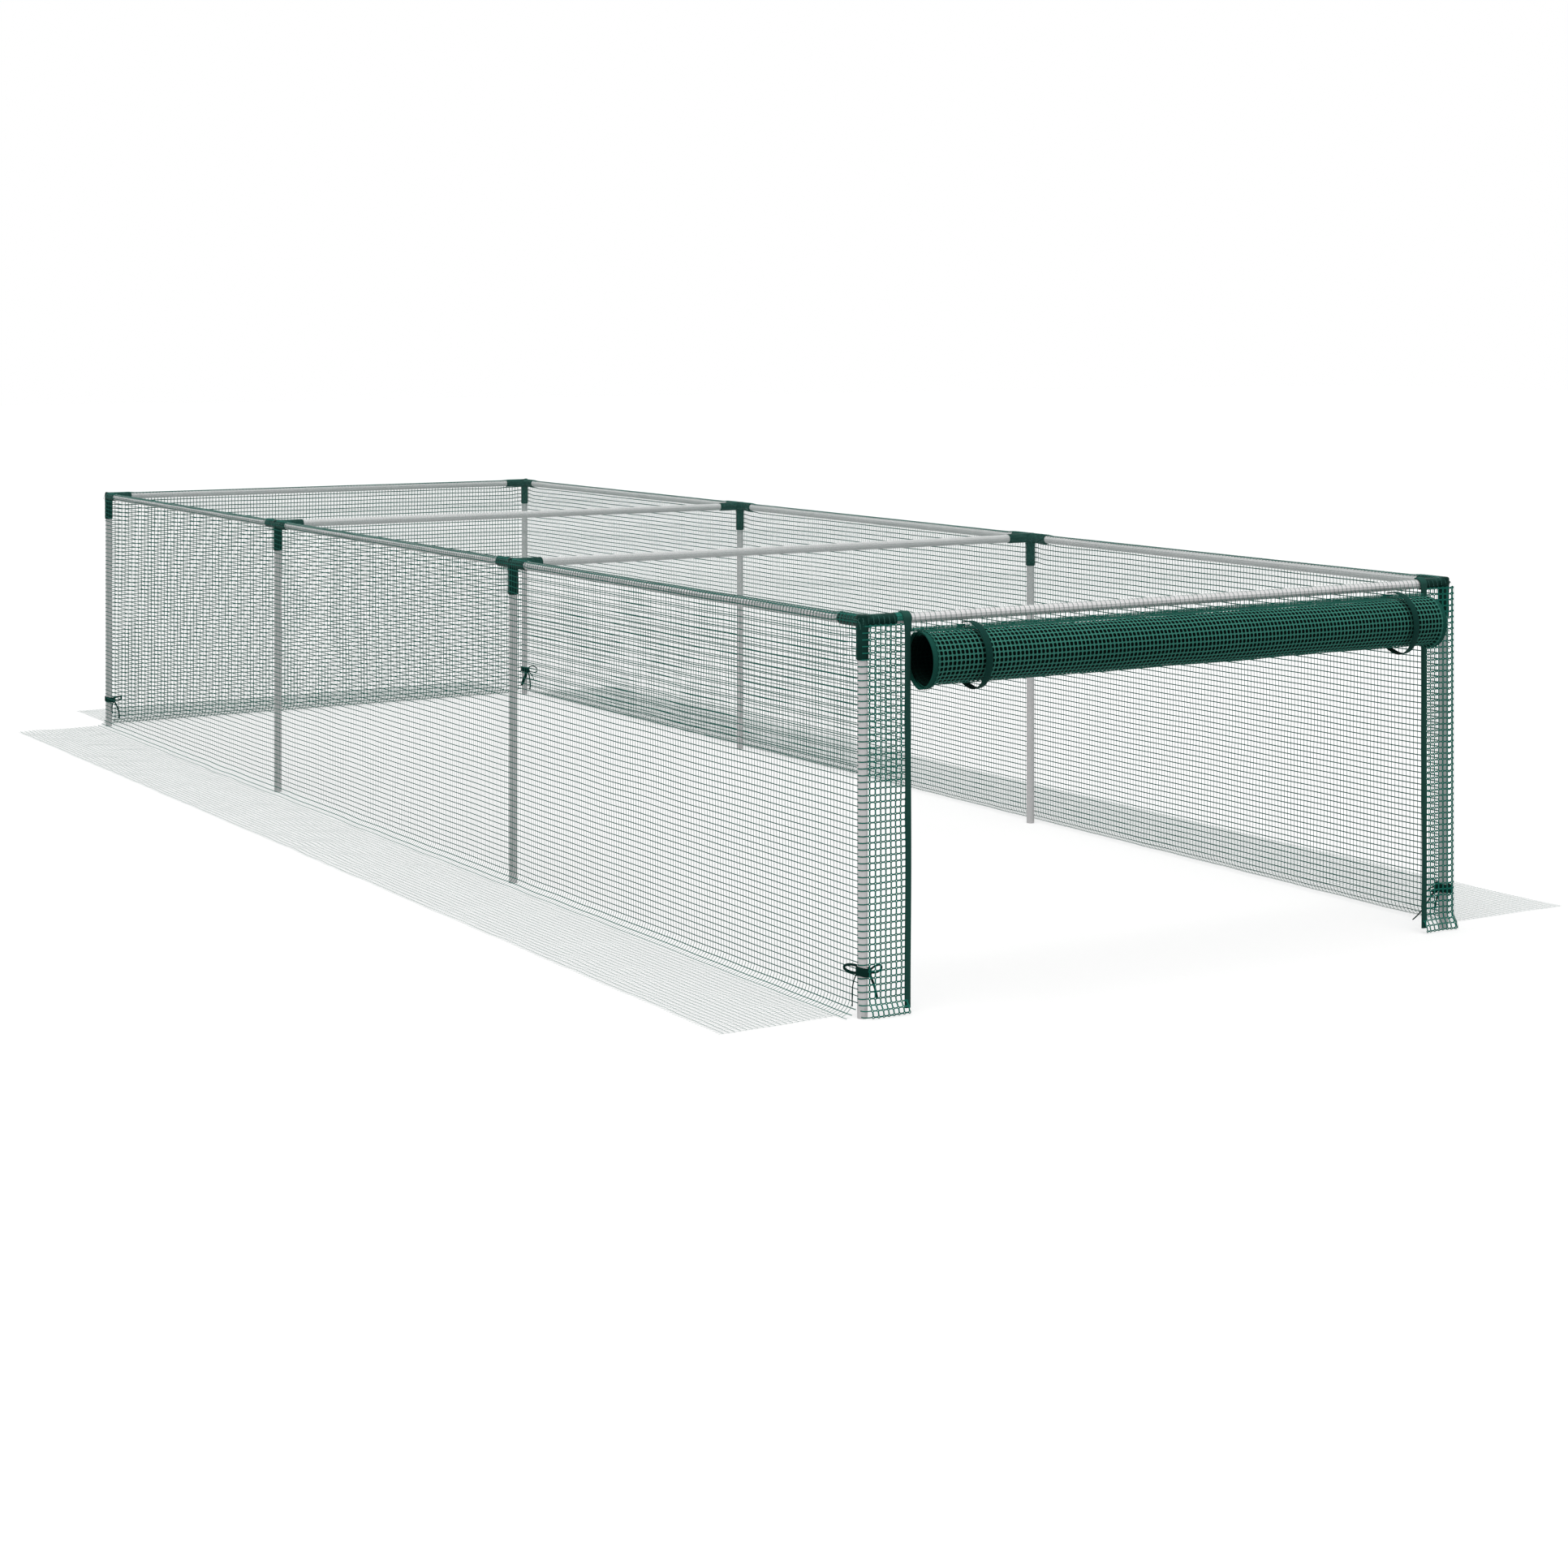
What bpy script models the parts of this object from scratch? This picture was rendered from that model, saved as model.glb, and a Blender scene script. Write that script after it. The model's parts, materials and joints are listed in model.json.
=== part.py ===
"""Low three-bay crop cage: a push-fit tube frame under a fitted net cover, with a roll-up net door.

Metres, +Z up. The door end faces -Y and the left side faces -X. The origin lies on the ground, at the
middle of the whole footprint, skirts and door roll included.
"""

import math

import bmesh
import bpy
from mathutils import Matrix, Vector
from mathutils.geometry import delaunay_2d_cdt

# Frame
BAY_COUNT = 3
BAY_LENGTH = 1.184
FRAME_WIDTH = 1.184
RAIL_HEIGHT = 0.590
TUBE_DIAMETER = 0.016
TUBE_WALL = 0.001
ROUND_SIDES = 12

# Connectors
SLEEVE_WALL = 0.0014
SLEEVE_REACH = 0.058
HUB_EXTRA = 0.0003
STOP_DISTANCE = 0.0117
FIT_CLEARANCE = 0.0003

# Net cover
NET_THICKNESS = 0.0010
NET_STRAND = 0.006
SEAT_CLEARANCE = 0.0003
CELLS_PER_BAY = 6
CELLS_ACROSS = 6
CELLS_UP = 3
SKIRT_THICKNESS = 0.0012
SKIRT_WIDTH_SIDE = 0.257
SKIRT_WIDTH_BACK = 0.310
COVER_SHIFT = 0.0325
SKIRT_FRONT_INSET = 0.026
SKIRT_BACK_INSET = 0.015

# Door opening
DOOR_EDGE_LEFT = 0.0744
DOOR_EDGE_RIGHT = 0.0559
BINDING_WIDTH = 0.0085
BINDING_THICKNESS = 0.0024
BINDING_GROUND_GAP = 0.008
RETURN_CELLS_UP = 6
FLAP_HEIGHT = 0.0292
FLAP_CELLS = 10

# Rolled door
ROLL_RADIUS = 0.042
ROLL_AXIS_FORWARD = 0.030
ROLL_AXIS_DROP = 0.0595
ROLL_LEFT_END = 0.080
ROLL_RIGHT_END = 0.0625
ROLL_TURNS = 2
ROLL_LAYER = 0.0016
ROLL_PITCH = 0.0026
ROLL_STEPS_PER_TURN = 20
EDGE_BAND_WIDTH = 0.012
EDGE_BAND_THICKNESS = 0.0022
CURTAIN_CELLS = 6

# Door loops
LOOP_WIDTH = 0.013
LOOP_THICKNESS = 0.0015
LOOP_SLACK = 0.0045
LOOP_LEFT_INSET = 0.094
LOOP_RIGHT_INSET = 0.0785
LOOP_OVERLAP = 0.006
LOOP_STEPS = 26

# Ties
TIE_HEIGHT = 0.069
TIE_BAND_HEIGHT = 0.011
TIE_BAND_THICKNESS = 0.0012
TIE_CORD_RADIUS = 0.0012
TIE_KNOT_SIZE = 0.007
TIE_KNOT_REACH = 0.0098
TIE_LONG_LOOP = 0.040
TIE_SHORT_LOOP = 0.028
TIE_LOOP_HEIGHT = 0.011
TIE_TAIL_DROP = 0.044
TIE_LONG_TAIL_SPREAD = 0.028
TIE_SHORT_TAIL_SPREAD = 0.013

# Frame layout
half_width = FRAME_WIDTH / 2
half_length = BAY_COUNT * BAY_LENGTH / 2
tube_radius = TUBE_DIAMETER / 2
flat_share = math.cos(math.pi / ROUND_SIDES)
bore_radius = tube_radius + FIT_CLEARANCE / flat_share
sleeve_radius = bore_radius + SLEEVE_WALL
hub_radius = sleeve_radius + HUB_EXTRA
hub_reach = hub_radius * flat_share
tube_end = STOP_DISTANCE + FIT_CLEARANCE
post_rows = [-half_length + i * BAY_LENGTH for i in range(BAY_COUNT + 1)]

# Layers of the cover, counted outward from the plane of the post axes
net_in = hub_reach + SEAT_CLEARANCE
net_out = net_in + NET_THICKNESS
binding_out = net_in + BINDING_THICKNESS
curtain_in = binding_out + SEAT_CLEARANCE
curtain_out = curtain_in + NET_THICKNESS
roll_axis_height = RAIL_HEIGHT - ROLL_AXIS_DROP
loop_outer_radius = ROLL_RADIUS + LOOP_SLACK + LOOP_THICKNESS
roof_low = RAIL_HEIGHT + net_in
wall_top = roof_low - SEAT_CLEARANCE
skirt_start = net_out + SEAT_CLEARANCE

# The roll hangs under the front tube, between the two bound edges, and the curtain above it comes down
# onto its top, a little behind its axis.
curtain_to_axis = ROLL_AXIS_FORWARD - curtain_out
curtain_low = roll_axis_height + math.sqrt(ROLL_RADIUS**2 - curtain_to_axis**2) + SEAT_CLEARANCE

# The cover sits a little to the right on the frame, so its right skirt lies wider than its left one.
skirt_left = SKIRT_WIDTH_SIDE - COVER_SHIFT
skirt_right = SKIRT_WIDTH_SIDE + COVER_SHIFT
front_reach = half_length + ROLL_AXIS_FORWARD + loop_outer_radius
back_reach = half_length + skirt_start + SKIRT_WIDTH_BACK
cage_centre = Vector((-COVER_SHIFT, (front_reach - back_reach) / 2, 0))

ground_plane = Matrix.Identity(3)
front_plane = Matrix(((1, 0, 0), (0, 0, -1), (0, 1, 0)))
back_plane = Matrix(((-1, 0, 0), (0, 0, 1), (0, 1, 0)))
left_plane = Matrix(((0, 0, -1), (-1, 0, 0), (0, 1, 0)))
right_plane = Matrix(((0, 0, 1), (1, 0, 0), (0, 1, 0)))


for old in list(bpy.data.objects):
    bpy.data.objects.remove(old, do_unlink=True)


def make_material(name, colour, roughness, metallic):
    material = bpy.data.materials.new(name)
    material.use_nodes = True
    shader = material.node_tree.nodes["Principled BSDF"]
    shader.inputs["Base Color"].default_value = (*colour, 1)
    shader.inputs["Roughness"].default_value = roughness
    shader.inputs["Metallic"].default_value = metallic
    material.diffuse_color = (*colour, 1)
    return material


tube_grey = make_material("tube_grey", (0.42, 0.43, 0.43), 0.40, 0.70)
connector_green = make_material("connector_green", (0.012, 0.045, 0.036), 0.45, 0.0)
net_green = make_material("net_green", (0.030, 0.115, 0.085), 0.60, 0.0)
door_net_green = make_material("door_net_green", (0.020, 0.095, 0.070), 0.60, 0.0)
binding_green = make_material("binding_green", (0.012, 0.060, 0.045), 0.75, 0.0)
strap_green = make_material("strap_green", (0.008, 0.035, 0.028), 0.65, 0.0)
tie_green = make_material("tie_green", (0.010, 0.040, 0.030), 0.70, 0.0)


def make_empty(name, location, parent=None):
    empty = bpy.data.objects.new(name, None)
    empty.empty_display_size = 0.05
    empty.location = location
    empty.parent = parent
    bpy.context.scene.collection.objects.link(empty)
    return empty


cage = make_empty("cage_frame", cage_centre)
roll_axis = Vector((0, -half_length - ROLL_AXIS_FORWARD, roll_axis_height))
door_carriage = make_empty("door_carriage_axis", roll_axis, cage)
door_turn = make_empty("door_turn_axis", Vector((0, 0, 0)), door_carriage)


def place(name, mesh, material, parent, location=(0, 0, 0), rotation=None):
    if not mesh.materials:
        mesh.materials.append(material)
    piece = bpy.data.objects.new(name, mesh)
    piece.location = location
    if rotation is not None:
        piece.rotation_euler = rotation.to_euler()
    piece.parent = parent
    bpy.context.scene.collection.objects.link(piece)
    return piece


def finish_mesh(name, bm, smooth=False):
    bmesh.ops.recalc_face_normals(bm, faces=bm.faces)
    mesh = bpy.data.meshes.new(name)
    bm.to_mesh(mesh)
    bm.free()
    if smooth:
        mesh.shade_smooth()
        mesh.set_sharp_from_angle(angle=math.radians(40))
    return mesh


def ring_points(radius, height):
    """Corners of a round section whose flats face the X and Y axes."""
    step = 2 * math.pi / ROUND_SIDES
    angles = [(i + 0.5) * step for i in range(ROUND_SIDES)]
    return [Vector((radius * math.cos(a), radius * math.sin(a), height)) for a in angles]


def tube_mesh(name, length, outer, inner):
    """A tube from the origin up +Z, open at both ends."""
    bm = bmesh.new()
    rings = []
    for radius, height in ((outer, 0), (outer, length), (inner, length), (inner, 0)):
        rings.append([bm.verts.new(p) for p in ring_points(radius, height)])
    for a, b in zip(rings, rings[1:] + rings[:1]):
        for i in range(ROUND_SIDES):
            j = (i + 1) % ROUND_SIDES
            bm.faces.new((a[i], a[j], b[j], b[i]))
    return finish_mesh(name, bm, smooth=True)


def rod_mesh(name, low, high, radius):
    """A solid round bar along Z between two heights."""
    bm = bmesh.new()
    bottom = [bm.verts.new(p) for p in ring_points(radius, low)]
    top = [bm.verts.new(p) for p in ring_points(radius, high)]
    bm.faces.new(bottom)
    bm.faces.new(top)
    for i in range(ROUND_SIDES):
        j = (i + 1) % ROUND_SIDES
        bm.faces.new((bottom[i], bottom[j], top[j], top[i]))
    return finish_mesh(name, bm)


def box_mesh(name, low, high):
    bm = bmesh.new()
    bmesh.ops.create_cube(bm, size=1)
    low, high = Vector(low), Vector(high)
    for vert in bm.verts:
        vert.co = Vector([low[k] + (vert.co[k] + 0.5) * (high[k] - low[k]) for k in range(3)])
    return finish_mesh(name, bm)


def carved(name, body, added, removed):
    """One mesh from a body, the shapes joined to it and the shapes cut from it."""
    scratch = [bpy.data.objects.new(name + "_shape", m) for m in [body, *added, *removed]]
    for shape in scratch:
        bpy.context.scene.collection.objects.link(shape)
    base = scratch[0]
    for i, shape in enumerate(scratch[1:]):
        shape.display_type = "WIRE"
        shape.hide_render = True
        step = base.modifiers.new("shape_%d" % i, "BOOLEAN")
        step.operation = "UNION" if i < len(added) else "DIFFERENCE"
        step.solver = "EXACT"
        step.object = shape
    bpy.context.view_layer.update()
    graph = bpy.context.evaluated_depsgraph_get()
    mesh = bpy.data.meshes.new_from_object(base.evaluated_get(graph))
    mesh.name = name
    for shape in scratch:
        bpy.data.objects.remove(shape, do_unlink=True)
    bm = bmesh.new()
    bm.from_mesh(mesh)
    bmesh.ops.triangulate(bm, faces=bm.faces)
    bm.to_mesh(mesh)
    bm.free()
    mesh.shade_smooth()
    mesh.set_sharp_from_angle(angle=math.radians(40))
    return mesh


def turned(mesh, rotation):
    copy = mesh.copy()
    copy.transform(rotation.to_4x4())
    return copy


# Posts stand on the ground and stop inside the connectors, a little under the rail axis.
toward = {
    "up": Matrix.Identity(3),
    "down": Matrix.Rotation(math.pi, 3, "X"),
    "back": Matrix.Rotation(-math.pi / 2, 3, "X"),
    "front": Matrix.Rotation(math.pi / 2, 3, "X"),
    "right": Matrix.Rotation(math.pi / 2, 3, "Y"),
}
post_mesh = tube_mesh("post", RAIL_HEIGHT - tube_end, tube_radius, tube_radius - TUBE_WALL)
rail_mesh = tube_mesh("rail", BAY_LENGTH - 2 * tube_end, tube_radius, tube_radius - TUBE_WALL)
cross_mesh = tube_mesh("cross_tube", FRAME_WIDTH - 2 * tube_end, tube_radius, tube_radius - TUBE_WALL)
sides = {"left": -half_width, "right": half_width}
for side, x in sides.items():
    for i, y in enumerate(post_rows):
        place("post_%s_%d" % (side, i + 1), post_mesh, tube_grey, cage, (x, y, 0))

# Side rails run from connector to connector, one for each bay.
for side, x in sides.items():
    for i, y in enumerate(post_rows[:-1]):
        start = (x, y + tube_end, RAIL_HEIGHT)
        place("rail_%s_%d" % (side, i + 1), rail_mesh, tube_grey, cage, start, toward["back"])

# Cross tubes tie the two sides together at each pair of posts.
for i, y in enumerate(post_rows):
    start = (-half_width + tube_end, y, RAIL_HEIGHT)
    place("cross_tube_%d" % (i + 1), cross_mesh, tube_grey, cage, start, toward["right"])


# Moulded connectors: sleeves that the tube ends push into, as far as a stop near the middle.
sleeve = rod_mesh("sleeve", 0, SLEEVE_REACH, sleeve_radius)
bore = rod_mesh("bore", STOP_DISTANCE, SLEEVE_REACH + sleeve_radius, bore_radius)


def connector_mesh(name, arms):
    hub = rod_mesh(name, -SLEEVE_REACH, hub_reach, hub_radius)
    added = [turned(sleeve, toward[a]) for a in arms]
    removed = [turned(bore, toward[a]) for a in [*arms, "down"]]
    return carved(name, hub, added, removed)


corner_mesh = connector_mesh("corner_connector", ["right", "back"])
side_mesh = connector_mesh("side_connector", ["right", "back", "front"])
corner_turns = {("left", 0): 0, ("right", 0): 90, ("right", BAY_COUNT): 180, ("left", BAY_COUNT): 270}
for side, x in sides.items():
    for i, y in enumerate(post_rows):
        name = "connector_%s_%d" % (side, i + 1)
        angle = corner_turns.get((side, i), 0 if side == "left" else 180)
        mesh = corner_mesh if (side, i) in corner_turns else side_mesh
        spin = Matrix.Rotation(math.radians(angle), 3, "Z")
        place(name, mesh, connector_green, cage, (x, y, RAIL_HEIGHT), spin)


# Net panels are sheets of crossing strands, shown with the strands drawn wide and few.
def net_mesh(name, width, height, columns, rows):
    """A flat net in the XY plane from the origin, bordered by a strand all round."""
    cell_width = (width - NET_STRAND) / columns
    cell_height = (height - NET_STRAND) / rows
    outlines = [(0, 0, width, height)]
    for i in range(columns):
        for j in range(rows):
            left = NET_STRAND + i * cell_width
            low = NET_STRAND + j * cell_height
            outlines.append((left, low, left + cell_width - NET_STRAND, low + cell_height - NET_STRAND))
    points, edges = [], []
    for left, low, right, high in outlines:
        first = len(points)
        points += [Vector(p) for p in ((left, low), (right, low), (right, high), (left, high))]
        edges += [(first + k, first + (k + 1) % 4) for k in range(4)]
    places, _, faces = delaunay_2d_cdt(points, edges, [], 1, 1e-7)[:3]
    bm = bmesh.new()
    verts = [bm.verts.new((p[0], p[1], 0)) for p in places]
    for face in faces:
        middle = sum((places[k] for k in face), Vector((0, 0))) / len(face)
        in_cell_x = (middle.x % cell_width) > NET_STRAND
        in_cell_y = (middle.y % cell_height) > NET_STRAND
        if not (in_cell_x and in_cell_y):
            bm.faces.new([verts[k] for k in face])
    for face in bm.faces:
        if face.normal.z < 0:
            face.normal_flip()
    mesh = bpy.data.meshes.new(name)
    bm.to_mesh(mesh)
    bm.free()
    return mesh


def net_panel(name, width, height, columns, rows, corner, plane, material, thickness, parent):
    """A net whose inner face starts at a corner and whose thickness grows outward."""
    mesh = net_mesh(name, width, height, columns, rows)
    panel = place(name, mesh, material, parent, corner, plane)
    sheet = panel.modifiers.new("thickness", "SOLIDIFY")
    sheet.thickness = thickness
    sheet.offset = 1
    return panel


long_cells = CELLS_PER_BAY * BAY_COUNT
wall_length = 2 * (half_length + net_in - SEAT_CLEARANCE)
wall_end = wall_length / 2
outer_width = 2 * (half_width + net_out)

# The side walls and the back wall hang outside the posts, from the roof down to the ground.
net_panel(
    "wall_net_left", wall_length, wall_top, long_cells, CELLS_UP,
    (-half_width - net_in, wall_end, 0), left_plane, net_green, NET_THICKNESS, cage,
)
net_panel(
    "wall_net_right", wall_length, wall_top, long_cells, CELLS_UP,
    (half_width + net_in, -wall_end, 0), right_plane, net_green, NET_THICKNESS, cage,
)
net_panel(
    "wall_net_back", outer_width, wall_top, CELLS_ACROSS, CELLS_UP,
    (half_width + net_out, half_length + net_in, 0), back_plane, net_green, NET_THICKNESS, cage,
)

# The roof net lies over the connectors and reaches out over the head of the door curtain.
roof_front = half_length + curtain_out
net_panel(
    "roof_net", outer_width, roof_front + half_length + net_out, CELLS_ACROSS, long_cells,
    (-half_width - net_out, -roof_front, roof_low), ground_plane, net_green, NET_THICKNESS, cage,
)

# Two narrow returns close the door end beside the posts.
front_face = -half_length - net_in
left_binding = -half_width + DOOR_EDGE_LEFT
right_binding = half_width - DOOR_EDGE_RIGHT
half_binding = BINDING_WIDTH / 2
return_left_width = left_binding - half_binding - SEAT_CLEARANCE + half_width + net_out
return_right_width = half_width + net_out - right_binding - half_binding - SEAT_CLEARANCE
net_panel(
    "return_net_left", return_left_width, wall_top, 1, RETURN_CELLS_UP,
    (-half_width - net_out, front_face, 0), front_plane, net_green, NET_THICKNESS, cage,
)
net_panel(
    "return_net_right", return_right_width, wall_top, 1, RETURN_CELLS_UP,
    (half_width + net_out - return_right_width, front_face, 0), front_plane, net_green, NET_THICKNESS, cage,
)

# A folded tape binds the free edge of each return and stops just short of the ground.
for side, x in (("left", left_binding), ("right", right_binding)):
    low = (x - half_binding, front_face - BINDING_THICKNESS, BINDING_GROUND_GAP)
    high = (x + half_binding, front_face, wall_top)
    place("binding_" + side, box_mesh("binding_" + side, low, high), binding_green, cage)

# The roof net turns down over the front tube as a doubled flap between the two tapes.
flap_left = left_binding + half_binding + SEAT_CLEARANCE
flap_right = right_binding - half_binding - SEAT_CLEARANCE
net_panel(
    "front_flap_net", flap_right - flap_left, FLAP_HEIGHT, FLAP_CELLS, 1,
    (flap_left, front_face, wall_top - FLAP_HEIGHT), front_plane, net_green, BINDING_THICKNESS, cage,
)

# Ground skirts lie flat, each sewn on at the foot of its wall.
skirt_front = -half_length + SKIRT_FRONT_INSET
skirt_side_length = half_length + net_out - skirt_front
net_panel(
    "skirt_left", skirt_left, skirt_side_length, 1, long_cells,
    (-half_width - skirt_start - skirt_left, skirt_front, 0), ground_plane, net_green, SKIRT_THICKNESS, cage,
)
net_panel(
    "skirt_right", skirt_right, skirt_side_length, 1, long_cells,
    (half_width + skirt_start, skirt_front, 0), ground_plane, net_green, SKIRT_THICKNESS, cage,
)
net_panel(
    "skirt_back", 2 * (half_width - SKIRT_BACK_INSET), SKIRT_WIDTH_BACK, CELLS_ACROSS, 1,
    (-half_width + SKIRT_BACK_INSET, half_length + skirt_start, 0),
    ground_plane, net_green, SKIRT_THICKNESS, cage,
)


# The door net comes down onto its roll, then winds behind it, under it, up the front and round inside.
roll_start = -half_width + ROLL_LEFT_END
roll_end = half_width - ROLL_RIGHT_END
net_panel(
    "door_curtain", roll_end - roll_start, wall_top - curtain_low, CURTAIN_CELLS, 1,
    (roll_start, -half_length - curtain_in, curtain_low), front_plane,
    door_net_green, NET_THICKNESS, cage,
)
winding_start = math.acos(curtain_to_axis / ROLL_RADIUS)


def wound_mesh(name, start, end, layer):
    """Layers wound round the X axis, from the foot of the curtain backward, down and forward."""
    bm = bmesh.new()
    sections = []
    for i in range(ROLL_TURNS * ROLL_STEPS_PER_TURN + 1):
        turn = i / ROLL_STEPS_PER_TURN
        outer = ROLL_RADIUS - ROLL_PITCH * turn
        angle = winding_start - 2 * math.pi * turn
        corners = [(start, outer), (end, outer), (end, outer - layer), (start, outer - layer)]
        sections.append(
            [bm.verts.new((x, r * math.cos(angle), r * math.sin(angle))) for x, r in corners]
        )
    bm.faces.new(sections[0])
    bm.faces.new(sections[-1])
    for a, b in zip(sections, sections[1:]):
        for k in range(4):
            m = (k + 1) % 4
            bm.faces.new((a[k], a[m], b[m], b[k]))
    return finish_mesh(name, bm, smooth=True)


band_left = roll_start + EDGE_BAND_WIDTH
band_right = roll_end - EDGE_BAND_WIDTH
roll_mesh = wound_mesh("door_roll", band_left + SEAT_CLEARANCE, band_right - SEAT_CLEARANCE, ROLL_LAYER)
place("door_roll", roll_mesh, door_net_green, door_turn)
left_band_mesh = wound_mesh("door_edge_left", roll_start, band_left, EDGE_BAND_THICKNESS)
place("door_edge_left", left_band_mesh, binding_green, door_turn)
right_band_mesh = wound_mesh("door_edge_right", band_right, roll_end, EDGE_BAND_THICKNESS)
place("door_edge_right", right_band_mesh, binding_green, door_turn)


# Each webbing loop starts just before the curtain, passes over, before, under and behind the roll with some
# slack, and comes up again just behind the flap.
def loop_mesh(name, middle):
    inner = ROLL_RADIUS + LOOP_SLACK
    outer = inner + LOOP_THICKNESS
    half = LOOP_WIDTH / 2
    end_near = ROLL_AXIS_FORWARD - net_in + SEAT_CLEARANCE
    end_far = end_near + LOOP_THICKNESS
    end_height = math.sqrt(inner**2 - end_near**2)
    first = math.acos((curtain_to_axis - SEAT_CLEARANCE) / outer)
    last = 2 * math.pi + math.acos(end_near / inner)
    sections = []
    for i in range(LOOP_STEPS + 1):
        angle = first + (last - first) * i / LOOP_STEPS
        sections.append([(r * math.cos(angle), r * math.sin(angle)) for r in (inner, outer)])
    sections[-1] = [(end_near, end_height), (end_far, end_height)]
    end_top = wall_top - FLAP_HEIGHT + LOOP_OVERLAP - roll_axis_height
    sections.append([(end_near, end_top), (end_far, end_top)])
    bm = bmesh.new()
    rings = []
    for (y0, z0), (y1, z1) in sections:
        corners = [(middle - half, y0, z0), (middle + half, y0, z0), (middle + half, y1, z1), (middle - half, y1, z1)]
        rings.append([bm.verts.new(c) for c in corners])
    bm.faces.new(rings[0])
    bm.faces.new(rings[-1])
    for a, b in zip(rings, rings[1:]):
        for k in range(4):
            m = (k + 1) % 4
            bm.faces.new((a[k], a[m], b[m], b[k]))
    return finish_mesh(name, bm, smooth=True)


left_loop_mesh = loop_mesh("door_loop_left", roll_start + LOOP_LEFT_INSET)
place("door_loop_left", left_loop_mesh, strap_green, door_carriage)
right_loop_mesh = loop_mesh("door_loop_right", roll_end - LOOP_RIGHT_INSET)
place("door_loop_right", right_loop_mesh, strap_green, door_carriage)


# Ties: a band round the foot of each corner post, knotted on the inner side in a bow with two tails.
def cord_mesh(name, points, closed):
    """A thin square cord along points that lie in one upright plane."""
    bm = bmesh.new()
    rings = []
    count = len(points)
    side = (points[1] - points[0]).cross(points[2] - points[1]).normalized()
    for i, point in enumerate(points):
        before = points[(i - 1) % count] if closed or i else point
        after = points[(i + 1) % count] if closed or i < count - 1 else point
        along = (after - before).normalized()
        up = side.cross(along)
        ring = []
        for k in range(4):
            angle = math.pi / 2 * k
            ring.append(bm.verts.new(point + TIE_CORD_RADIUS * (math.cos(angle) * side + math.sin(angle) * up)))
        rings.append(ring)
    pairs = list(zip(rings, rings[1:]))
    if closed:
        pairs.append((rings[-1], rings[0]))
    else:
        bm.faces.new(rings[0])
        bm.faces.new(rings[-1])
    for a, b in pairs:
        for k in range(4):
            m = (k + 1) % 4
            bm.faces.new((a[k], a[m], b[m], b[k]))
    return finish_mesh(name, bm)


def bow_loop(direction, length):
    """An oval loop that leaves the knot along a level direction."""
    knot = Vector((TIE_KNOT_REACH, TIE_KNOT_REACH, 0))
    points = []
    for i in range(12):
        angle = 2 * math.pi * i / 12
        reach = length / 2 * (1 - math.cos(angle))
        rise = TIE_LOOP_HEIGHT / 2 * math.sin(angle)
        points.append(knot + direction * reach + Vector((0, 0, rise)))
    return cord_mesh("bow_loop", points, True)


def bow_tail(direction, spread):
    knot = Vector((TIE_KNOT_REACH, TIE_KNOT_REACH, 0))
    points = []
    for share in (0, 0.5, 1):
        drop = Vector((0, 0, -TIE_TAIL_DROP * share))
        points.append(knot + direction * spread * share**1.5 + drop)
    return cord_mesh("bow_tail", points, False)


tie_inner = bore_radius
band = tube_mesh("tie_band", TIE_BAND_HEIGHT, tie_inner + TIE_BAND_THICKNESS, tie_inner)
band.transform(Matrix.Translation((0, 0, -TIE_BAND_HEIGHT / 2)))
half_knot = TIE_KNOT_SIZE / 2
knot_low = (TIE_KNOT_REACH - half_knot, TIE_KNOT_REACH - half_knot, -half_knot)
knot_high = (TIE_KNOT_REACH + half_knot, TIE_KNOT_REACH + half_knot, half_knot)
knot_mesh = box_mesh("tie_knot", knot_low, knot_high)
inward, along = Vector((1, 0, 0)), Vector((0, 1, 0))
tie_parts = [
    knot_mesh,
    bow_loop(along, TIE_LONG_LOOP),
    bow_loop(inward, TIE_SHORT_LOOP),
    bow_tail(along, TIE_LONG_TAIL_SPREAD),
    bow_tail(inward, TIE_SHORT_TAIL_SPREAD),
]
tie_mesh = carved("tie", band, tie_parts, [])
for name, side, y, angle in (
    ("tie_front_left", "left", -half_length, 0),
    ("tie_front_right", "right", -half_length, 90),
    ("tie_back_right", "right", half_length, 180),
    ("tie_back_left", "left", half_length, 270),
):
    spin = Matrix.Rotation(math.radians(angle), 3, "Z")
    place(name, tie_mesh, tie_green, cage, (sides[side], y, TIE_HEIGHT), spin)

bpy.context.view_layer.update()
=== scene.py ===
import json
import math

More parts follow.
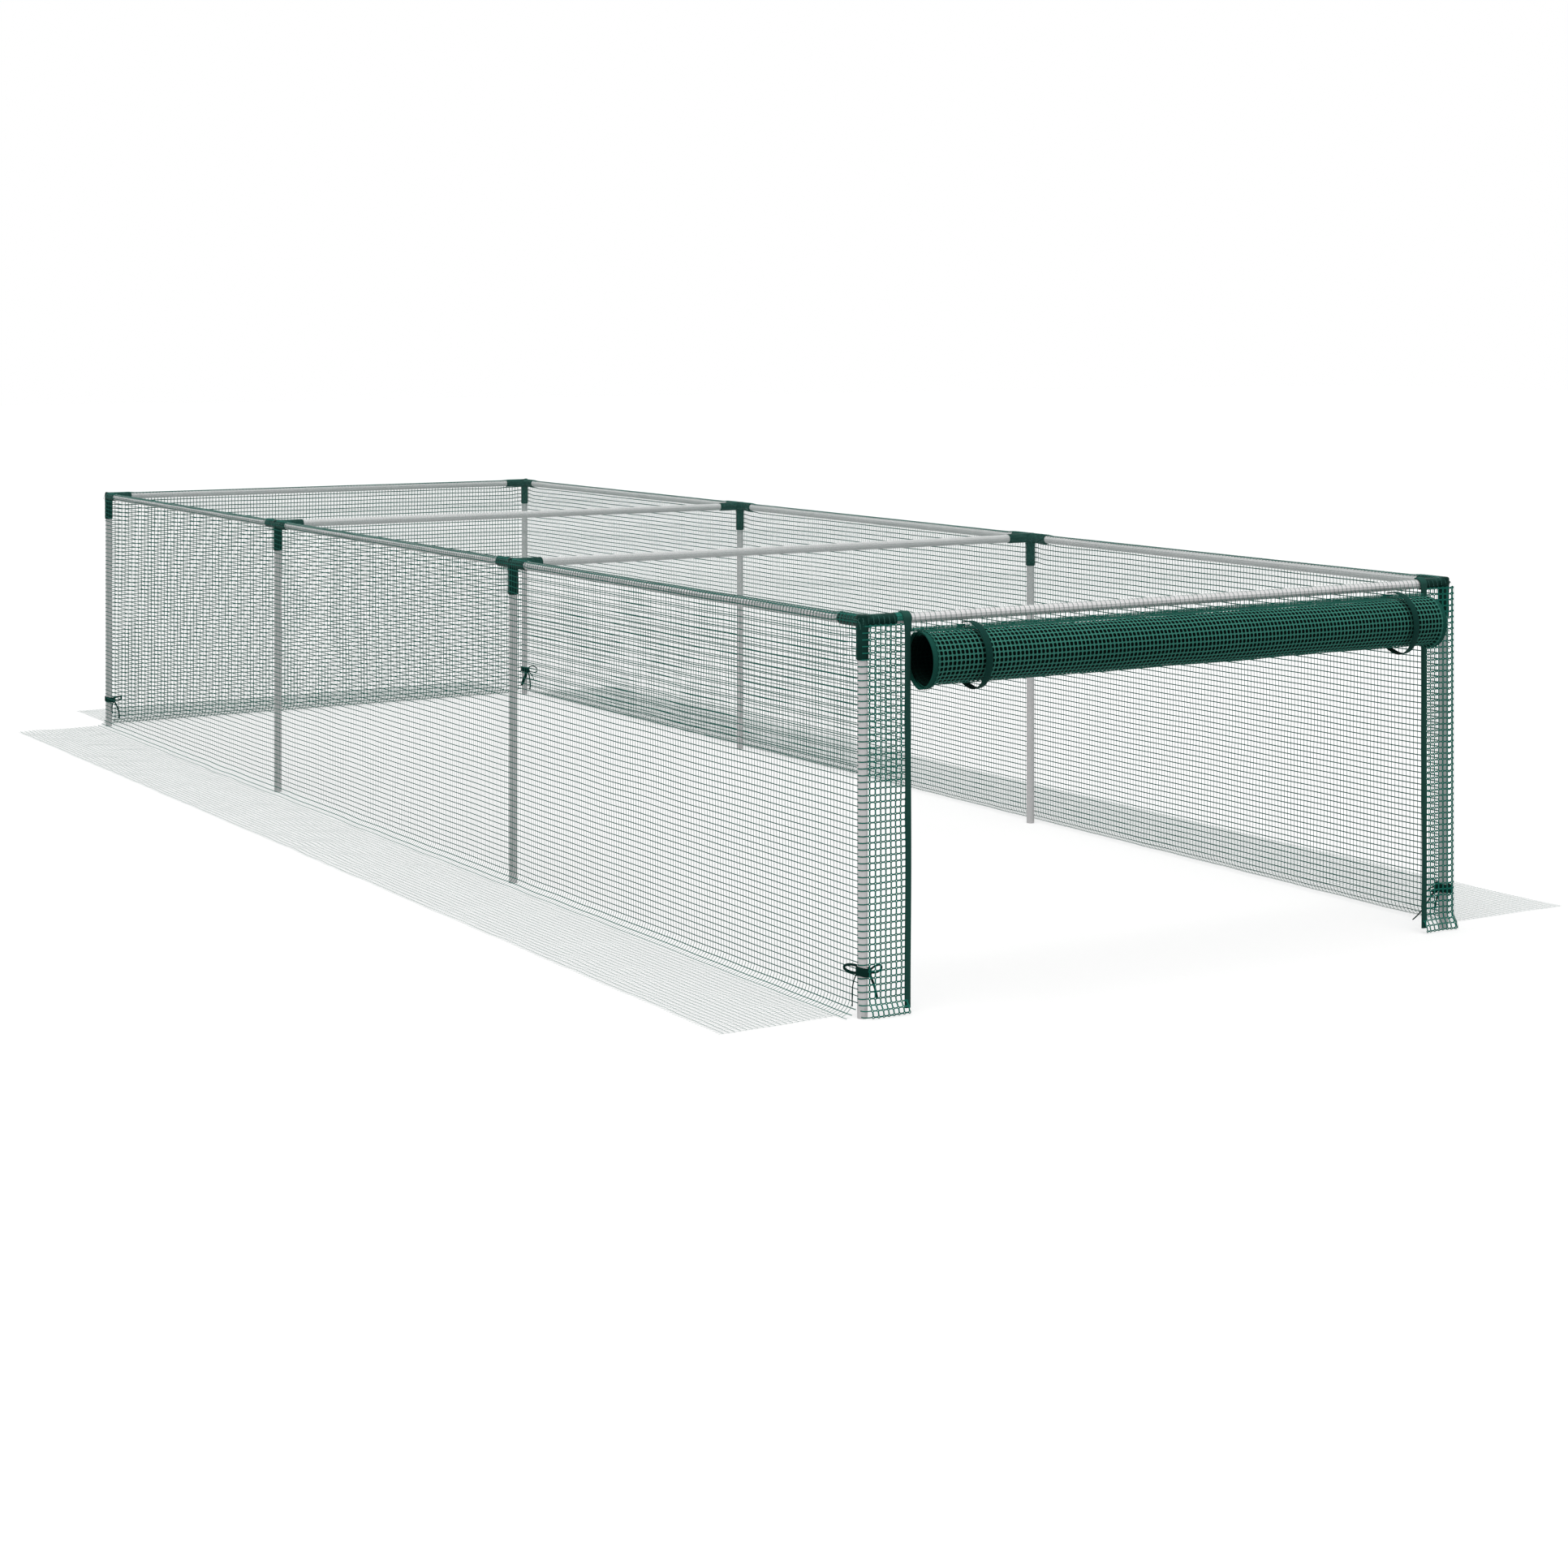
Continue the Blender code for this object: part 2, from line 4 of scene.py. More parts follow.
import bmesh
import bpy
import numpy as np
from mathutils import Matrix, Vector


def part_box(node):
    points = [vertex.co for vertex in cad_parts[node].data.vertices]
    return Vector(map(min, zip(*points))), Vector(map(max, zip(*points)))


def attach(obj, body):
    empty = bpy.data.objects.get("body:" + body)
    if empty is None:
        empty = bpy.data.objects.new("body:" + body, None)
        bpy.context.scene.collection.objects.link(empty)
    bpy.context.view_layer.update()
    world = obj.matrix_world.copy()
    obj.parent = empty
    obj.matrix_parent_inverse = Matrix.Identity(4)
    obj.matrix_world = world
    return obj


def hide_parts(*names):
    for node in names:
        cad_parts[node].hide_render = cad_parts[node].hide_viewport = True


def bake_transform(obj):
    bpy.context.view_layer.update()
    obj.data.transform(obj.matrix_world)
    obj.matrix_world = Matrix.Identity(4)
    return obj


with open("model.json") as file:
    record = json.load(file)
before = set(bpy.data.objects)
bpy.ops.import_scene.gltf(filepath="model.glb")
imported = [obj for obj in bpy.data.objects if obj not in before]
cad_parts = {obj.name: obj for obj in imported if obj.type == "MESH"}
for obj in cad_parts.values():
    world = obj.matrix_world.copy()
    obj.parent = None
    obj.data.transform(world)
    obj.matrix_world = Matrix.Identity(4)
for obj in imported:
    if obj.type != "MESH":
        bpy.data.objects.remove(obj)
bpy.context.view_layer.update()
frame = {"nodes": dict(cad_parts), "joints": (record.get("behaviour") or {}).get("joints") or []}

scene = bpy.context.scene


# The view and the studio. The cage stands on a plain pale floor under an even white sky, with one
# broad lamp almost overhead that gives the tubes and the roll their soft upper light.
view_data = bpy.data.cameras.new("view")
view_data.sensor_width = 36
view_data.lens = 64.19
view_data.shift_x = -0.00769
view_data.shift_y = -0.29293
view_data.clip_end = 200
view = bpy.data.objects.new("view", view_data)
view.location = (-2.89067, -5.38532, 1.0308)
view.rotation_euler = (math.radians(90), 0, math.radians(-31.6552))
scene.collection.objects.link(view)
scene.camera = view
scene.view_settings.view_transform = "Standard"


def looked_at(tree, kinds):
    """1 for rays of the named kinds, which look at the backdrop, and 0 for those that gather its light."""
    rays = tree.nodes.new("ShaderNodeLightPath")
    seen = rays.outputs[kinds[0]]
    for kind in kinds[1:]:
        most = tree.nodes.new("ShaderNodeMath")
        most.operation = "MAXIMUM"
        tree.links.new(seen, most.inputs[0])
        tree.links.new(rays.outputs[kind], most.inputs[1])
        seen = most.outputs[0]
    return seen


def coloured_node(tree, kind, colour):
    node = tree.nodes.new(kind)
    node.inputs["Color"].default_value = (*colour, 1)
    return node


sky = bpy.data.worlds.new("studio")
scene.world = sky
sky.use_nodes = True
tree = sky.node_tree
tree.nodes.clear()
soft_light = coloured_node(tree, "ShaderNodeBackground", (0.98, 0.99, 1))
soft_light.inputs["Strength"].default_value = 0.52
white_back = coloured_node(tree, "ShaderNodeBackground", (1, 1, 1))
sky_choice = tree.nodes.new("ShaderNodeMixShader")
sky_out = tree.nodes.new("ShaderNodeOutputWorld")
seen = looked_at(tree, ("Is Camera Ray", "Is Glossy Ray", "Is Transmission Ray"))
for socket, output in zip(sky_choice.inputs, (seen, soft_light.outputs[0], white_back.outputs[0])):
    tree.links.new(output, socket)
tree.links.new(sky_choice.outputs[0], sky_out.inputs["Surface"])

lamp_data = bpy.data.lights.new("high_lamp", "SUN")
lamp_data.energy = 1.75
lamp_data.angle = math.radians(40)
lamp_data.color = (1, 0.99, 0.97)
lamp = bpy.data.objects.new("high_lamp", lamp_data)
lamp.rotation_euler = (math.radians(9), math.radians(-10), 0)
scene.collection.objects.link(lamp)

floor_half = 30
floor_mesh = bpy.data.meshes.new("floor")
floor_corners = [(x * floor_half, y * floor_half, 0) for x, y in ((-1, -1), (1, -1), (1, 1), (-1, 1))]
floor_mesh.from_pydata(floor_corners, [], [(0, 1, 2, 3)])
floor = bpy.data.objects.new("floor", floor_mesh)
floor.location = (0, 0, -0.0006)
scene.collection.objects.link(floor)
floor_paint = bpy.data.materials.new("floor_paint")
floor_paint.use_nodes = True
tree = floor_paint.node_tree
tree.nodes.clear()
matt = coloured_node(tree, "ShaderNodeBsdfDiffuse", (0.42, 0.42, 0.42))
lifted = coloured_node(tree, "ShaderNodeEmission", (0.64, 0.64, 0.64))
tree.links.new(looked_at(tree, ("Is Camera Ray", "Is Glossy Ray")), lifted.inputs["Strength"])
both = tree.nodes.new("ShaderNodeAddShader")
floor_out = tree.nodes.new("ShaderNodeOutputMaterial")
tree.links.new(matt.outputs[0], both.inputs[0])
tree.links.new(lifted.outputs[0], both.inputs[1])
tree.links.new(both.outputs[0], floor_out.inputs["Surface"])
floor_mesh.materials.append(floor_paint)


# Posts, rails and cross tubes: drawn 16 mm tube with a satin pale grey finish, cut square and pushed
# by hand into the connectors. Fine draw marks run along each tube and handling has left faint smears.
post_axis = {}
for side in ("left", "right"):
    for row in range(1, 5):
        low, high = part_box("post_%s_%d" % (side, row))
        post_axis[side, row] = ((low.x + high.x) / 2, (low.y + high.y) / 2)
left_x, right_x = post_axis["left", 1][0], post_axis["right", 1][0]
post_rows = [post_axis["left", row][1] for row in range(1, 5)]
front_y, back_y = post_rows[0], post_rows[-1]
middle_x = (left_x + right_x) / 2
low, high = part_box("cross_tube_1")
rail_height = (low.z + high.z) / 2
bay = (back_y - front_y) / 3


def feed(tree, socket, value):
    """Sets a socket to a number, or joins it to the output of another node."""
    if isinstance(value, (int, float)):
        socket.default_value = value
    else:
        tree.links.new(value, socket)


def math_node(tree, operation, first, second=0):
    node = tree.nodes.new("ShaderNodeMath")
    node.operation = operation
    feed(tree, node.inputs[0], first)
    feed(tree, node.inputs[1], second)
    return node.outputs[0]


def weighed(tree, first, first_weight, second, second_weight):
    return math_node(tree, "ADD", math_node(tree, "MULTIPLY", first, first_weight),
                     math_node(tree, "MULTIPLY", second, second_weight))


def noise_node(tree, where, scale, detail):
    node = tree.nodes.new("ShaderNodeTexNoise")
    node.inputs["Detail"].default_value = detail
    tree.links.new(where, node.inputs["Vector"])
    feed(tree, node.inputs["Scale"], scale)
    return node.outputs["Fac"]


def finish_group(name, inputs):
    """A finish as a node group. Its inputs are values, vectors (3 numbers) and colours (4 numbers)."""
    group = bpy.data.node_groups.new(name, "ShaderNodeTree")
    for label, start in inputs.items():
        kind = "Float" if isinstance(start, float) else "Vector" if len(start) == 3 else "Color"
        socket = group.interface.new_socket(name=label, in_out="INPUT", socket_type="NodeSocket" + kind)
        socket.default_value = start
    for label, kind in (("Colour", "Color"), ("Roughness", "Float"), ("Height", "Float")):
        group.interface.new_socket(name=label, in_out="OUTPUT", socket_type="NodeSocket" + kind)
    where = group.nodes.new("ShaderNodeTexCoord").outputs["Object"]
    return group, group.nodes.new("NodeGroupInput").outputs, where


def give_out(group, given, share, colours, uneven, height):
    """Mixes two of the given colours by share, adds uneven to the given roughness, and joins the outputs."""
    mix = group.nodes.new("ShaderNodeMix")
    mix.data_type = "RGBA"
    values = (share, given[colours[0]], given[colours[1]])
    for socket, value in zip((mix.inputs[0], mix.inputs[6], mix.inputs[7]), values):
        group.links.new(value, socket)
    result = group.nodes.new("NodeGroupOutput").inputs
    group.links.new(mix.outputs[2], result["Colour"])
    group.links.new(math_node(group, "ADD", given["Roughness"], uneven), result["Roughness"])
    group.links.new(height, result["Height"])


def dressed(name, group, values, shine, bump, reach, metallic=0.0, cover=1.0):
    """A material that wears a finish group. cover under 1 lets some of what lies behind show through."""
    material = bpy.data.materials.new(name)
    material.use_nodes = True
    tree = material.node_tree
    shader = tree.nodes["Principled BSDF"]
    shader.inputs["Metallic"].default_value = metallic
    shader.inputs["Specular IOR Level"].default_value = shine
    shader.inputs["Alpha"].default_value = cover
    worn = tree.nodes.new("ShaderNodeGroup")
    worn.node_tree = group
    for label, value in values.items():
        worn.inputs[label].default_value = (*value, 1) if label.endswith("Colour") else value
    relief = tree.nodes.new("ShaderNodeBump")
    relief.inputs["Strength"].default_value = bump
    relief.inputs["Distance"].default_value = reach
    tree.links.new(worn.outputs["Colour"], shader.inputs["Base Color"])
    tree.links.new(worn.outputs["Roughness"], shader.inputs["Roughness"])
    tree.links.new(worn.outputs["Height"], relief.inputs["Height"])
    tree.links.new(relief.outputs["Normal"], shader.inputs["Normal"])
    return material


drawn_metal, given, where = finish_group("drawn_metal", {
    "Light Colour": (0.5, 0.5, 0.5, 1), "Dark Colour": (0.3, 0.3, 0.3, 1), "Stretch": (1, 1, 0.02),
    "Roughness": 0.35})
stretched = drawn_metal.nodes.new("ShaderNodeVectorMath")
stretched.operation = "MULTIPLY"
drawn_metal.links.new(where, stretched.inputs[0])
drawn_metal.links.new(given["Stretch"], stretched.inputs[1])
marks = noise_node(drawn_metal, stretched.outputs[0], 900, 3)
smears = noise_node(drawn_metal, where, 22, 4)
give_out(drawn_metal, given, weighed(drawn_metal, marks, 0.45, smears, 0.55), ("Light Colour", "Dark Colour"),
         math_node(drawn_metal, "MULTIPLY", smears, 0.12), marks)


def tube_finish(name, stretch, pale=1.0):
    """stretch draws the marks out along the tube, and pale under 1 darkens it as painted shade."""
    values = {"Light Colour": (0.95 * pale, 0.94 * pale, 0.945 * pale),
              "Dark Colour": (0.80 * pale, 0.785 * pale, 0.79 * pale), "Stretch": stretch, "Roughness": 0.42}
    return dressed(name, drawn_metal, values, shine=0.25, bump=0.25, reach=0.0002, metallic=0.08)


tube_finishes = {
    # The posts wear a darker copy of the rails' tube finish: painted shade for their upright sides, which the
    # lamp overhead lights less.
    "post_": tube_finish("post_tube_painted_shade", (1, 1, 0.02), pale=0.92),
    "rail_": tube_finish("rail_tube", (1, 0.02, 1)),
    "cross_tube_": tube_finish("cross_tube", (0.02, 1, 1)),
}
for name, node in frame["nodes"].items():
    for start, surface in tube_finishes.items():
        if name.startswith(start):
            node.data.materials.clear()
            node.data.materials.append(surface)


# Connectors: moulded dark green plastic corners and tees. Each sleeve has a rounded lip, and the hub
# swells a little where the sleeves meet. The tubes push in and are held by grip alone.
sleeve_outer = 0.00955
sleeve_bore = 0.0083
sleeve_length = 0.058
sleeve_sides = 32
lip_round = 0.0022
bore_start, bore_end, past_sleeve = 0.0117, 0.0572, 0.075
hub_outer = 0.0100
hub_round = 0.0038
hub_foot = 0.0160


def turned_shape(profile):
    """A closed solid turned round Z from (radius, height) points; a radius of 0 closes on the axis."""
    bm = bmesh.new()
    angles = [2 * math.pi * (k + 0.5) / sleeve_sides for k in range(sleeve_sides)]
    rings = []
    for radius, height in profile:
        ring = [(radius * math.cos(a), radius * math.sin(a)) for a in angles] if radius else [(0, 0)]
        rings.append([bm.verts.new((x, y, height)) for x, y in ring])
    for first, second in zip(rings, rings[1:] + rings[:1]):
        for k in range(sleeve_sides):
            m = (k + 1) % sleeve_sides
            corners = [ring[j % len(ring)] for ring, j in ((first, k), (first, m), (second, m), (second, k))]
            corners = list(dict.fromkeys(corners))
            if len(corners) > 2:
                bm.faces.new(corners)
    bmesh.ops.recalc_face_normals(bm, faces=bm.faces)
    mesh = bpy.data.meshes.new("turned")
    bm.to_mesh(mesh)
    bm.free()
    return mesh


def rounded_end(radius, end, turn, steps=6):
    """Profile points of an end whose edge is rounded by turn."""
    angles = [math.pi / 2 * k / steps for k in range(steps + 1)]
    return [(radius - turn * (1 - math.cos(a)), end - turn * (1 - math.sin(a))) for a in angles]


def cut_and_joined(name, base, added, removed):
    """One mesh from a solid, the solids joined to it and the solids cut from it."""
    pieces = [bpy.data.objects.new(name + "_shape", mesh) for mesh in [base, *added, *removed]]
    for piece in pieces:
        scene.collection.objects.link(piece)
    for k, piece in enumerate(pieces[1:]):
        step = pieces[0].modifiers.new("step_%d" % k, "BOOLEAN")
        step.operation = "UNION" if k < len(added) else "DIFFERENCE"
        step.solver = "EXACT"
        step.object = piece
    bpy.context.view_layer.update()
    graph = bpy.context.evaluated_depsgraph_get()
    mesh = bpy.data.meshes.new_from_object(pieces[0].evaluated_get(graph))
    mesh.name = name
    for piece in pieces:
        bpy.data.objects.remove(piece, do_unlink=True)
    mesh.materials.clear()
    mesh.shade_smooth()
    mesh.set_sharp_from_angle(angle=math.radians(38))
    return mesh


def toward(mesh, rotation):
    copy = mesh.copy()
    copy.transform(rotation.to_4x4())
    return copy


directions = {
    "down": Matrix.Rotation(math.pi, 3, "X"),
    "back": Matrix.Rotation(-math.pi / 2, 3, "X"),
    "front": Matrix.Rotation(math.pi / 2, 3, "X"),
    "right": Matrix.Rotation(math.pi / 2, 3, "Y"),
}
sleeve_mesh = turned_shape([(0, 0), (sleeve_outer, 0), (sleeve_outer, 0.02),
                            *rounded_end(sleeve_outer, sleeve_length, lip_round), (0, sleeve_length)])
bore_mesh = turned_shape([(0, bore_start), (sleeve_bore, bore_start), (sleeve_bore, bore_end),
                          (sleeve_bore + 0.0004, past_sleeve), (0, past_sleeve)])
collar_mesh = turned_shape([
    (0, 0), (hub_outer, 0), (hub_outer, 0.0105), (sleeve_outer, hub_foot), (0, hub_foot)])
hub_mesh = turned_shape([(0, -hub_foot), (sleeve_outer, -hub_foot), (hub_outer, -0.011), (hub_outer, 0.0062),
                         *rounded_end(hub_outer, hub_outer, hub_round), (0, hub_outer)])


def connector_shape(name, arms):
    sleeves = [toward(sleeve_mesh, directions[arm]) for arm in [*arms, "down"]]
    collars = [toward(collar_mesh, directions[arm]) for arm in arms]
    bores = [toward(bore_mesh, directions[arm]) for arm in [*arms, "down"]]
    return cut_and_joined(name, hub_mesh, sleeves + collars, bores)


moulded_plastic, given, where = finish_group("moulded_plastic", {
    "Body Colour": (0.01, 0.04, 0.03, 1), "Worn Colour": (0.03, 0.08, 0.06, 1), "Roughness": 0.4})
grain = noise_node(moulded_plastic, where, 2600, 2)
patches = noise_node(moulded_plastic, where, 60, 4)
rim = moulded_plastic.nodes.new("ShaderNodeNewGeometry")
edge = moulded_plastic.nodes.new("ShaderNodeMapRange")
edge.inputs["From Min"].default_value = 0.52
edge.inputs["From Max"].default_value = 0.60
moulded_plastic.links.new(rim.outputs["Pointiness"], edge.inputs["Value"])
wear = math_node(moulded_plastic, "MULTIPLY", edge.outputs[0], patches)
share = math_node(moulded_plastic, "ADD", wear, math_node(moulded_plastic, "MULTIPLY", patches, 0.25))
give_out(moulded_plastic, given, share, ("Body Colour", "Worn Colour"),
         math_node(moulded_plastic, "MULTIPLY", patches, 0.2), grain)
connector_finish = dressed(
    "connector_plastic", moulded_plastic,
    {"Body Colour": (0.003, 0.028, 0.022), "Worn Colour": (0.010, 0.058, 0.046), "Roughness": 0.36},
    shine=0.06, bump=0.15, reach=0.0002)

corner_shape = connector_shape("corner_connector", ["right", "back"])
tee_shape = connector_shape("tee_connector", ["right", "back", "front"])
for shape in (corner_shape, tee_shape):
    shape.materials.append(connector_finish)
corner_turn = {("left", 1): 0, ("right", 1): 90, ("right", 4): 180, ("left", 4): 270}
for (side, row), (x, y) in post_axis.items():
    shape = corner_shape if (side, row) in corner_turn else tee_shape
    turn = corner_turn.get((side, row), 0 if side == "left" else 180)
    piece = bpy.data.objects.new("moulded_connector_%s_%d" % (side, row), shape)
    piece.location = (x, y, rail_height)
    piece.rotation_euler = (0, 0, math.radians(turn))
    scene.collection.objects.link(piece)
    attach(piece, "cage")
    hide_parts("connector_%s_%d" % (side, row))


# The roof net: green knitted mesh of flat strands, about 9 by 10 mm. It lies on the tubes and turns
# down over them on all four sides, where the walls are sewn to it.
mesh_across = 0.00931
mesh_along = 0.0100
roof_strands = (0.0010, 0.0010)
strand_thick = 0.0002
over_tube_radius = 0.0090
sleeve_lift = 0.0017
roof_sag = 0.004
roof_unevenness = 0.0022
net_drift = 0.0022
seam_down = 0.019
lifted_to, lift_fades = 0.056, 0.020
edge_band = 0.03
knit_spread = 0.0005
spread_beside, spread_along = 0.0125, 0.056
middle_y = (front_y + back_y) / 2
half_length = (back_y - front_y) / 2
roof_half = (right_x - left_x) / 2


def smooth_step(value):
    value = np.clip(value, 0, 1)
    return value * value * (3 - 2 * value)


def slow_waves(seed, shortest, longest, count=8):
    """An uneven field over a sheet, about -1 to 1, the same on every run."""
    source = np.random.default_rng(seed)
    lengths = source.uniform(shortest, longest, count)
    headings = source.uniform(0, math.pi, count)
    starts = source.uniform(0, 2 * math.pi, count)

    def field(u, v):
        total = 0
        for length, heading, start in zip(lengths, headings, starts):
            run = u * math.cos(heading) + v * math.sin(heading)
            total = total + np.cos(2 * math.pi * run / length + start)
        return total / (1.4 * math.sqrt(count))

    return field


def on_sleeve(distance):
    """1 beside a post row, where the net lies on a connector, and 0 where it lies on the tube."""
    return 1 - smooth_step((distance - lifted_to) / lift_fades)


def row_distance(y):
    return np.min([np.abs(y - row) for row in post_rows], axis=0)


def strands(points, across, width, thickness):
    """Closed flat strands: one strand for each row of points, lying the way that across points."""
    width = np.broadcast_to(width, points.shape[:2])[..., None]
    along = np.gradient(points, axis=1)
    along /= np.linalg.norm(along, axis=2, keepdims=True)
    across = across - np.sum(across * along, axis=2, keepdims=True) * along
    across /= np.linalg.norm(across, axis=2, keepdims=True)
    out = np.cross(along, across)
    ring = np.stack(
        [points + across * width / 2, points + out * thickness / 2,
         points - across * width / 2, points - out * thickness / 2], axis=2)
    count, length = points.shape[:2]
    index = np.arange(count * length * 4).reshape(count, length, 4)
    a, b = index[:, :-1], index[:, 1:]
    sides = np.stack([a, np.roll(a, -1, axis=2), np.roll(b, -1, axis=2), b], axis=3).reshape(-1, 4)
    ends = np.concatenate([index[:, 0, ::-1], index[:, -1, :]])
    return ring.reshape(-1, 3), [*sides.tolist(), *ends.tolist()]


def spread_on_sleeves(points):
    """How much wider the knit spreads where it is stretched over a connector's sleeves."""
    x, y, z = points[..., 0], points[..., 1], points[..., 2]
    side_gap = np.minimum(np.abs(x - left_x), np.abs(x - right_x))
    row_gap = row_distance(y)
    top_gap = np.abs(z - rail_height)

    def beside(gap):
        return 1 - smooth_step((gap - spread_beside) / 0.003)

    def within(gap):
        return 1 - smooth_step((gap - spread_along) / 0.004)

    arms = [beside(side_gap) * beside(top_gap) * within(row_gap),
            beside(row_gap) * beside(top_gap) * within(side_gap),
            beside(side_gap) * beside(row_gap) * within(top_gap)]
    return knit_spread * np.max(arms, axis=0)


def net_strands(at, columns, rows, column_steps, row_steps, widths, thickness, nudges=(0.0004, 0.0004)):
    """Both directions of strands of a net on the surface at(u, v). Its slopes are found by small nudges."""
    parts = []
    for lines, steps, width, nudge, is_column in (
            (columns, column_steps, widths[0], nudges[0], True),
            (rows, row_steps, widths[1], nudges[1], False)):
        if len(lines):
            line, step = np.meshgrid(lines, steps, indexing="ij")
            u, v = (line, step) if is_column else (step, line)
            du, dv = (nudge, 0) if is_column else (0, nudge)
            place = at(u, v)
            parts.append(strands(place, at(u + du, v + dv) - at(u - du, v - dv),
                                 width + spread_on_sleeves(place), thickness))
    return parts


def piece_from(name, parts, finish, body="cage", smooth=False):
    """One object from several (points, faces) parts, riding on a body."""
    points, faces, count = [], [], 0
    for part_points, part_faces in parts:
        points.append(part_points)
        faces += [[k + count for k in face] for face in part_faces]
        count += len(part_points)
    mesh = bpy.data.meshes.new(name)
    mesh.from_pydata(np.concatenate(points).tolist(), [], faces)
    if smooth:
        mesh.shade_smooth()
        mesh.set_sharp_from_angle(angle=math.radians(40))
    mesh.materials.append(finish)
    piece = bpy.data.objects.new(name, mesh)
    scene.collection.objects.link(piece)
    if body:
        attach(piece, body)
    return piece


knitted_yarn, given, where = finish_group("knitted_yarn", {
    "Yarn Colour": (0.02, 0.08, 0.06, 1), "Pale Colour": (0.04, 0.13, 0.10, 1), "Stitch Scale": 1500.0,
    "Roughness": 0.5})
stitch = noise_node(knitted_yarn, where, given["Stitch Scale"], 2)
fade = noise_node(knitted_yarn, where, 9, 3)
give_out(knitted_yarn, given, weighed(knitted_yarn, stitch, 0.55, fade, 0.45), ("Yarn Colour", "Pale Colour"),
         math_node(knitted_yarn, "MULTIPLY", stitch, 0.2), stitch)


def yarn_finish(name, dark, pale, shine=0.06, roughness=0.65, cover=1.0):
    values = {"Yarn Colour": dark, "Pale Colour": pale, "Stitch Scale": 1500.0, "Roughness": roughness}
    return dressed(name, knitted_yarn, values, shine, bump=0.4, reach=0.0003, cover=cover)


# The roof's yarn is thin and partly clear, so the tubes and connectors under it show through.
roof_finish = yarn_finish("roof_yarn", (0.034, 0.125, 0.106), (0.092, 0.245, 0.212), cover=0.42)
roof_waves = slow_waves(11, 0.25, 0.9)
roof_drift = slow_waves(12, 0.3, 1.2)


def over_edge(position, inner, radius):
    """How far out and how far down a net lies that runs flat to inner and then turns over a tube."""
    past = np.maximum(position - inner, 0) / radius
    bent = np.minimum(past, math.pi / 2)
    straight = np.maximum(past - math.pi / 2, 0) * radius
    out = np.where(position > inner, inner + radius * np.sin(bent), position)
    return out, radius * (1 - np.cos(bent)) + straight


def roof_at(u, v):
    """u runs across from the middle and v along the cage from its middle, both measured on the net."""
    u = u + net_drift * roof_drift(v, u)
    v = v + net_drift * roof_drift(u + 5, v)
    beside_row = on_sleeve(row_distance(np.clip(v, -half_length, half_length) + middle_y))
    beside_rail = on_sleeve(roof_half - np.minimum(np.abs(u), roof_half))
    radius = over_tube_radius + sleeve_lift * beside_row
    out_u, drop_u = over_edge(np.abs(u), roof_half, radius)
    out_v, drop_v = over_edge(np.abs(v), half_length, over_tube_radius + sleeve_lift * beside_rail)
    y = middle_y + np.sign(v) * out_v
    across = np.clip(1 - np.abs(u) / roof_half, 0, 1)
    bay_place = np.clip((v + half_length) / bay, 0, 3)
    hang = np.sin(math.pi * (bay_place % 1)) ** 2 * np.sin(math.pi / 2 * np.minimum(across * 2, 1))
    hang = np.where(np.abs(v) > half_length, 0, hang)
    edge = 1 - smooth_step((roof_half - np.abs(u)) / edge_band)
    flat = over_tube_radius + sleeve_lift * edge * on_sleeve(row_distance(y))
    z = rail_height + np.where(np.abs(u) > roof_half, radius - drop_u, flat) - drop_v
    z = z - hang * (roof_sag + roof_unevenness * roof_waves(u, v))
    return np.stack([middle_x + np.sign(u) * out_u, y, z], axis=-1)


def lines_within(pitch, limit):
    """Places one pitch apart, out from the middle both ways and short of the limit."""
    count = int(limit / pitch)
    return np.arange(-count, count + 1) * pitch


roof_columns = lines_within(mesh_across, roof_half + 0.0165)
roof_rows = lines_within(mesh_along, half_length + 0.004)
beside_tube = np.array([-0.0150, -0.0115, -0.0085, 0.0085, 0.0115, 0.0150])
tube_steps = (np.array(post_rows)[:, None] - middle_y + beside_tube).ravel()
tube_steps = tube_steps[np.abs(tube_steps) < half_length - 0.005]


def steps_over(half, inside, turned, extra):
    """Places along a strand: even ones over the roof, and closer ones where it turns down at both ends."""
    turn = half + np.linspace(0, seam_down, turned)
    return np.unique(np.concatenate([-turn, np.linspace(-half, half, inside)[1:-1], turn, extra]))


steps_along = steps_over(half_length, 178, 6, tube_steps)
steps_across = steps_over(
    roof_half, 60, 7, np.concatenate([-roof_half - beside_tube[:3], roof_half + beside_tube[:3]]))
roof = piece_from(
    "roof_net_cover",
    net_strands(roof_at, roof_columns, roof_rows, steps_along, steps_across, roof_strands, strand_thick),
    roof_finish)
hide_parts("roof_net")


# Side and back walls: the same net, sewn on at the top tubes and hung outside the posts. At the foot
# each wall swings outward and runs on into its skirt, so the lowest meshes lean away from the cage.
wall_mesh_along = 0.0087
wall_mesh_down = 0.01006
wall_strands = {"left": (0.0014, 0.0015), "right": (0.0013, 0.0018), "back": (0.0015, 0.0021)}
wall_finish = yarn_finish("wall_yarn", (0.012, 0.100, 0.080), (0.032, 0.190, 0.152))
wall_out = 0.0085
wall_corner = 0.0087
wall_height = 0.618
fold_radius = 0.024
wall_top_lap = 0.007
foot_top, foot_length = 0.57, 0.04
ground_clearance = 0.0012
stitch_drift = 0.0006
wall_bulge, wall_unevenness = 0.0012, 0.0018
foot_sway, foot_shift = 0.0022, 0.0015
slack_reach = 0.14
hem_rows = [0.0060, 0.0095, 0.0130]
hem_strand = 0.0016


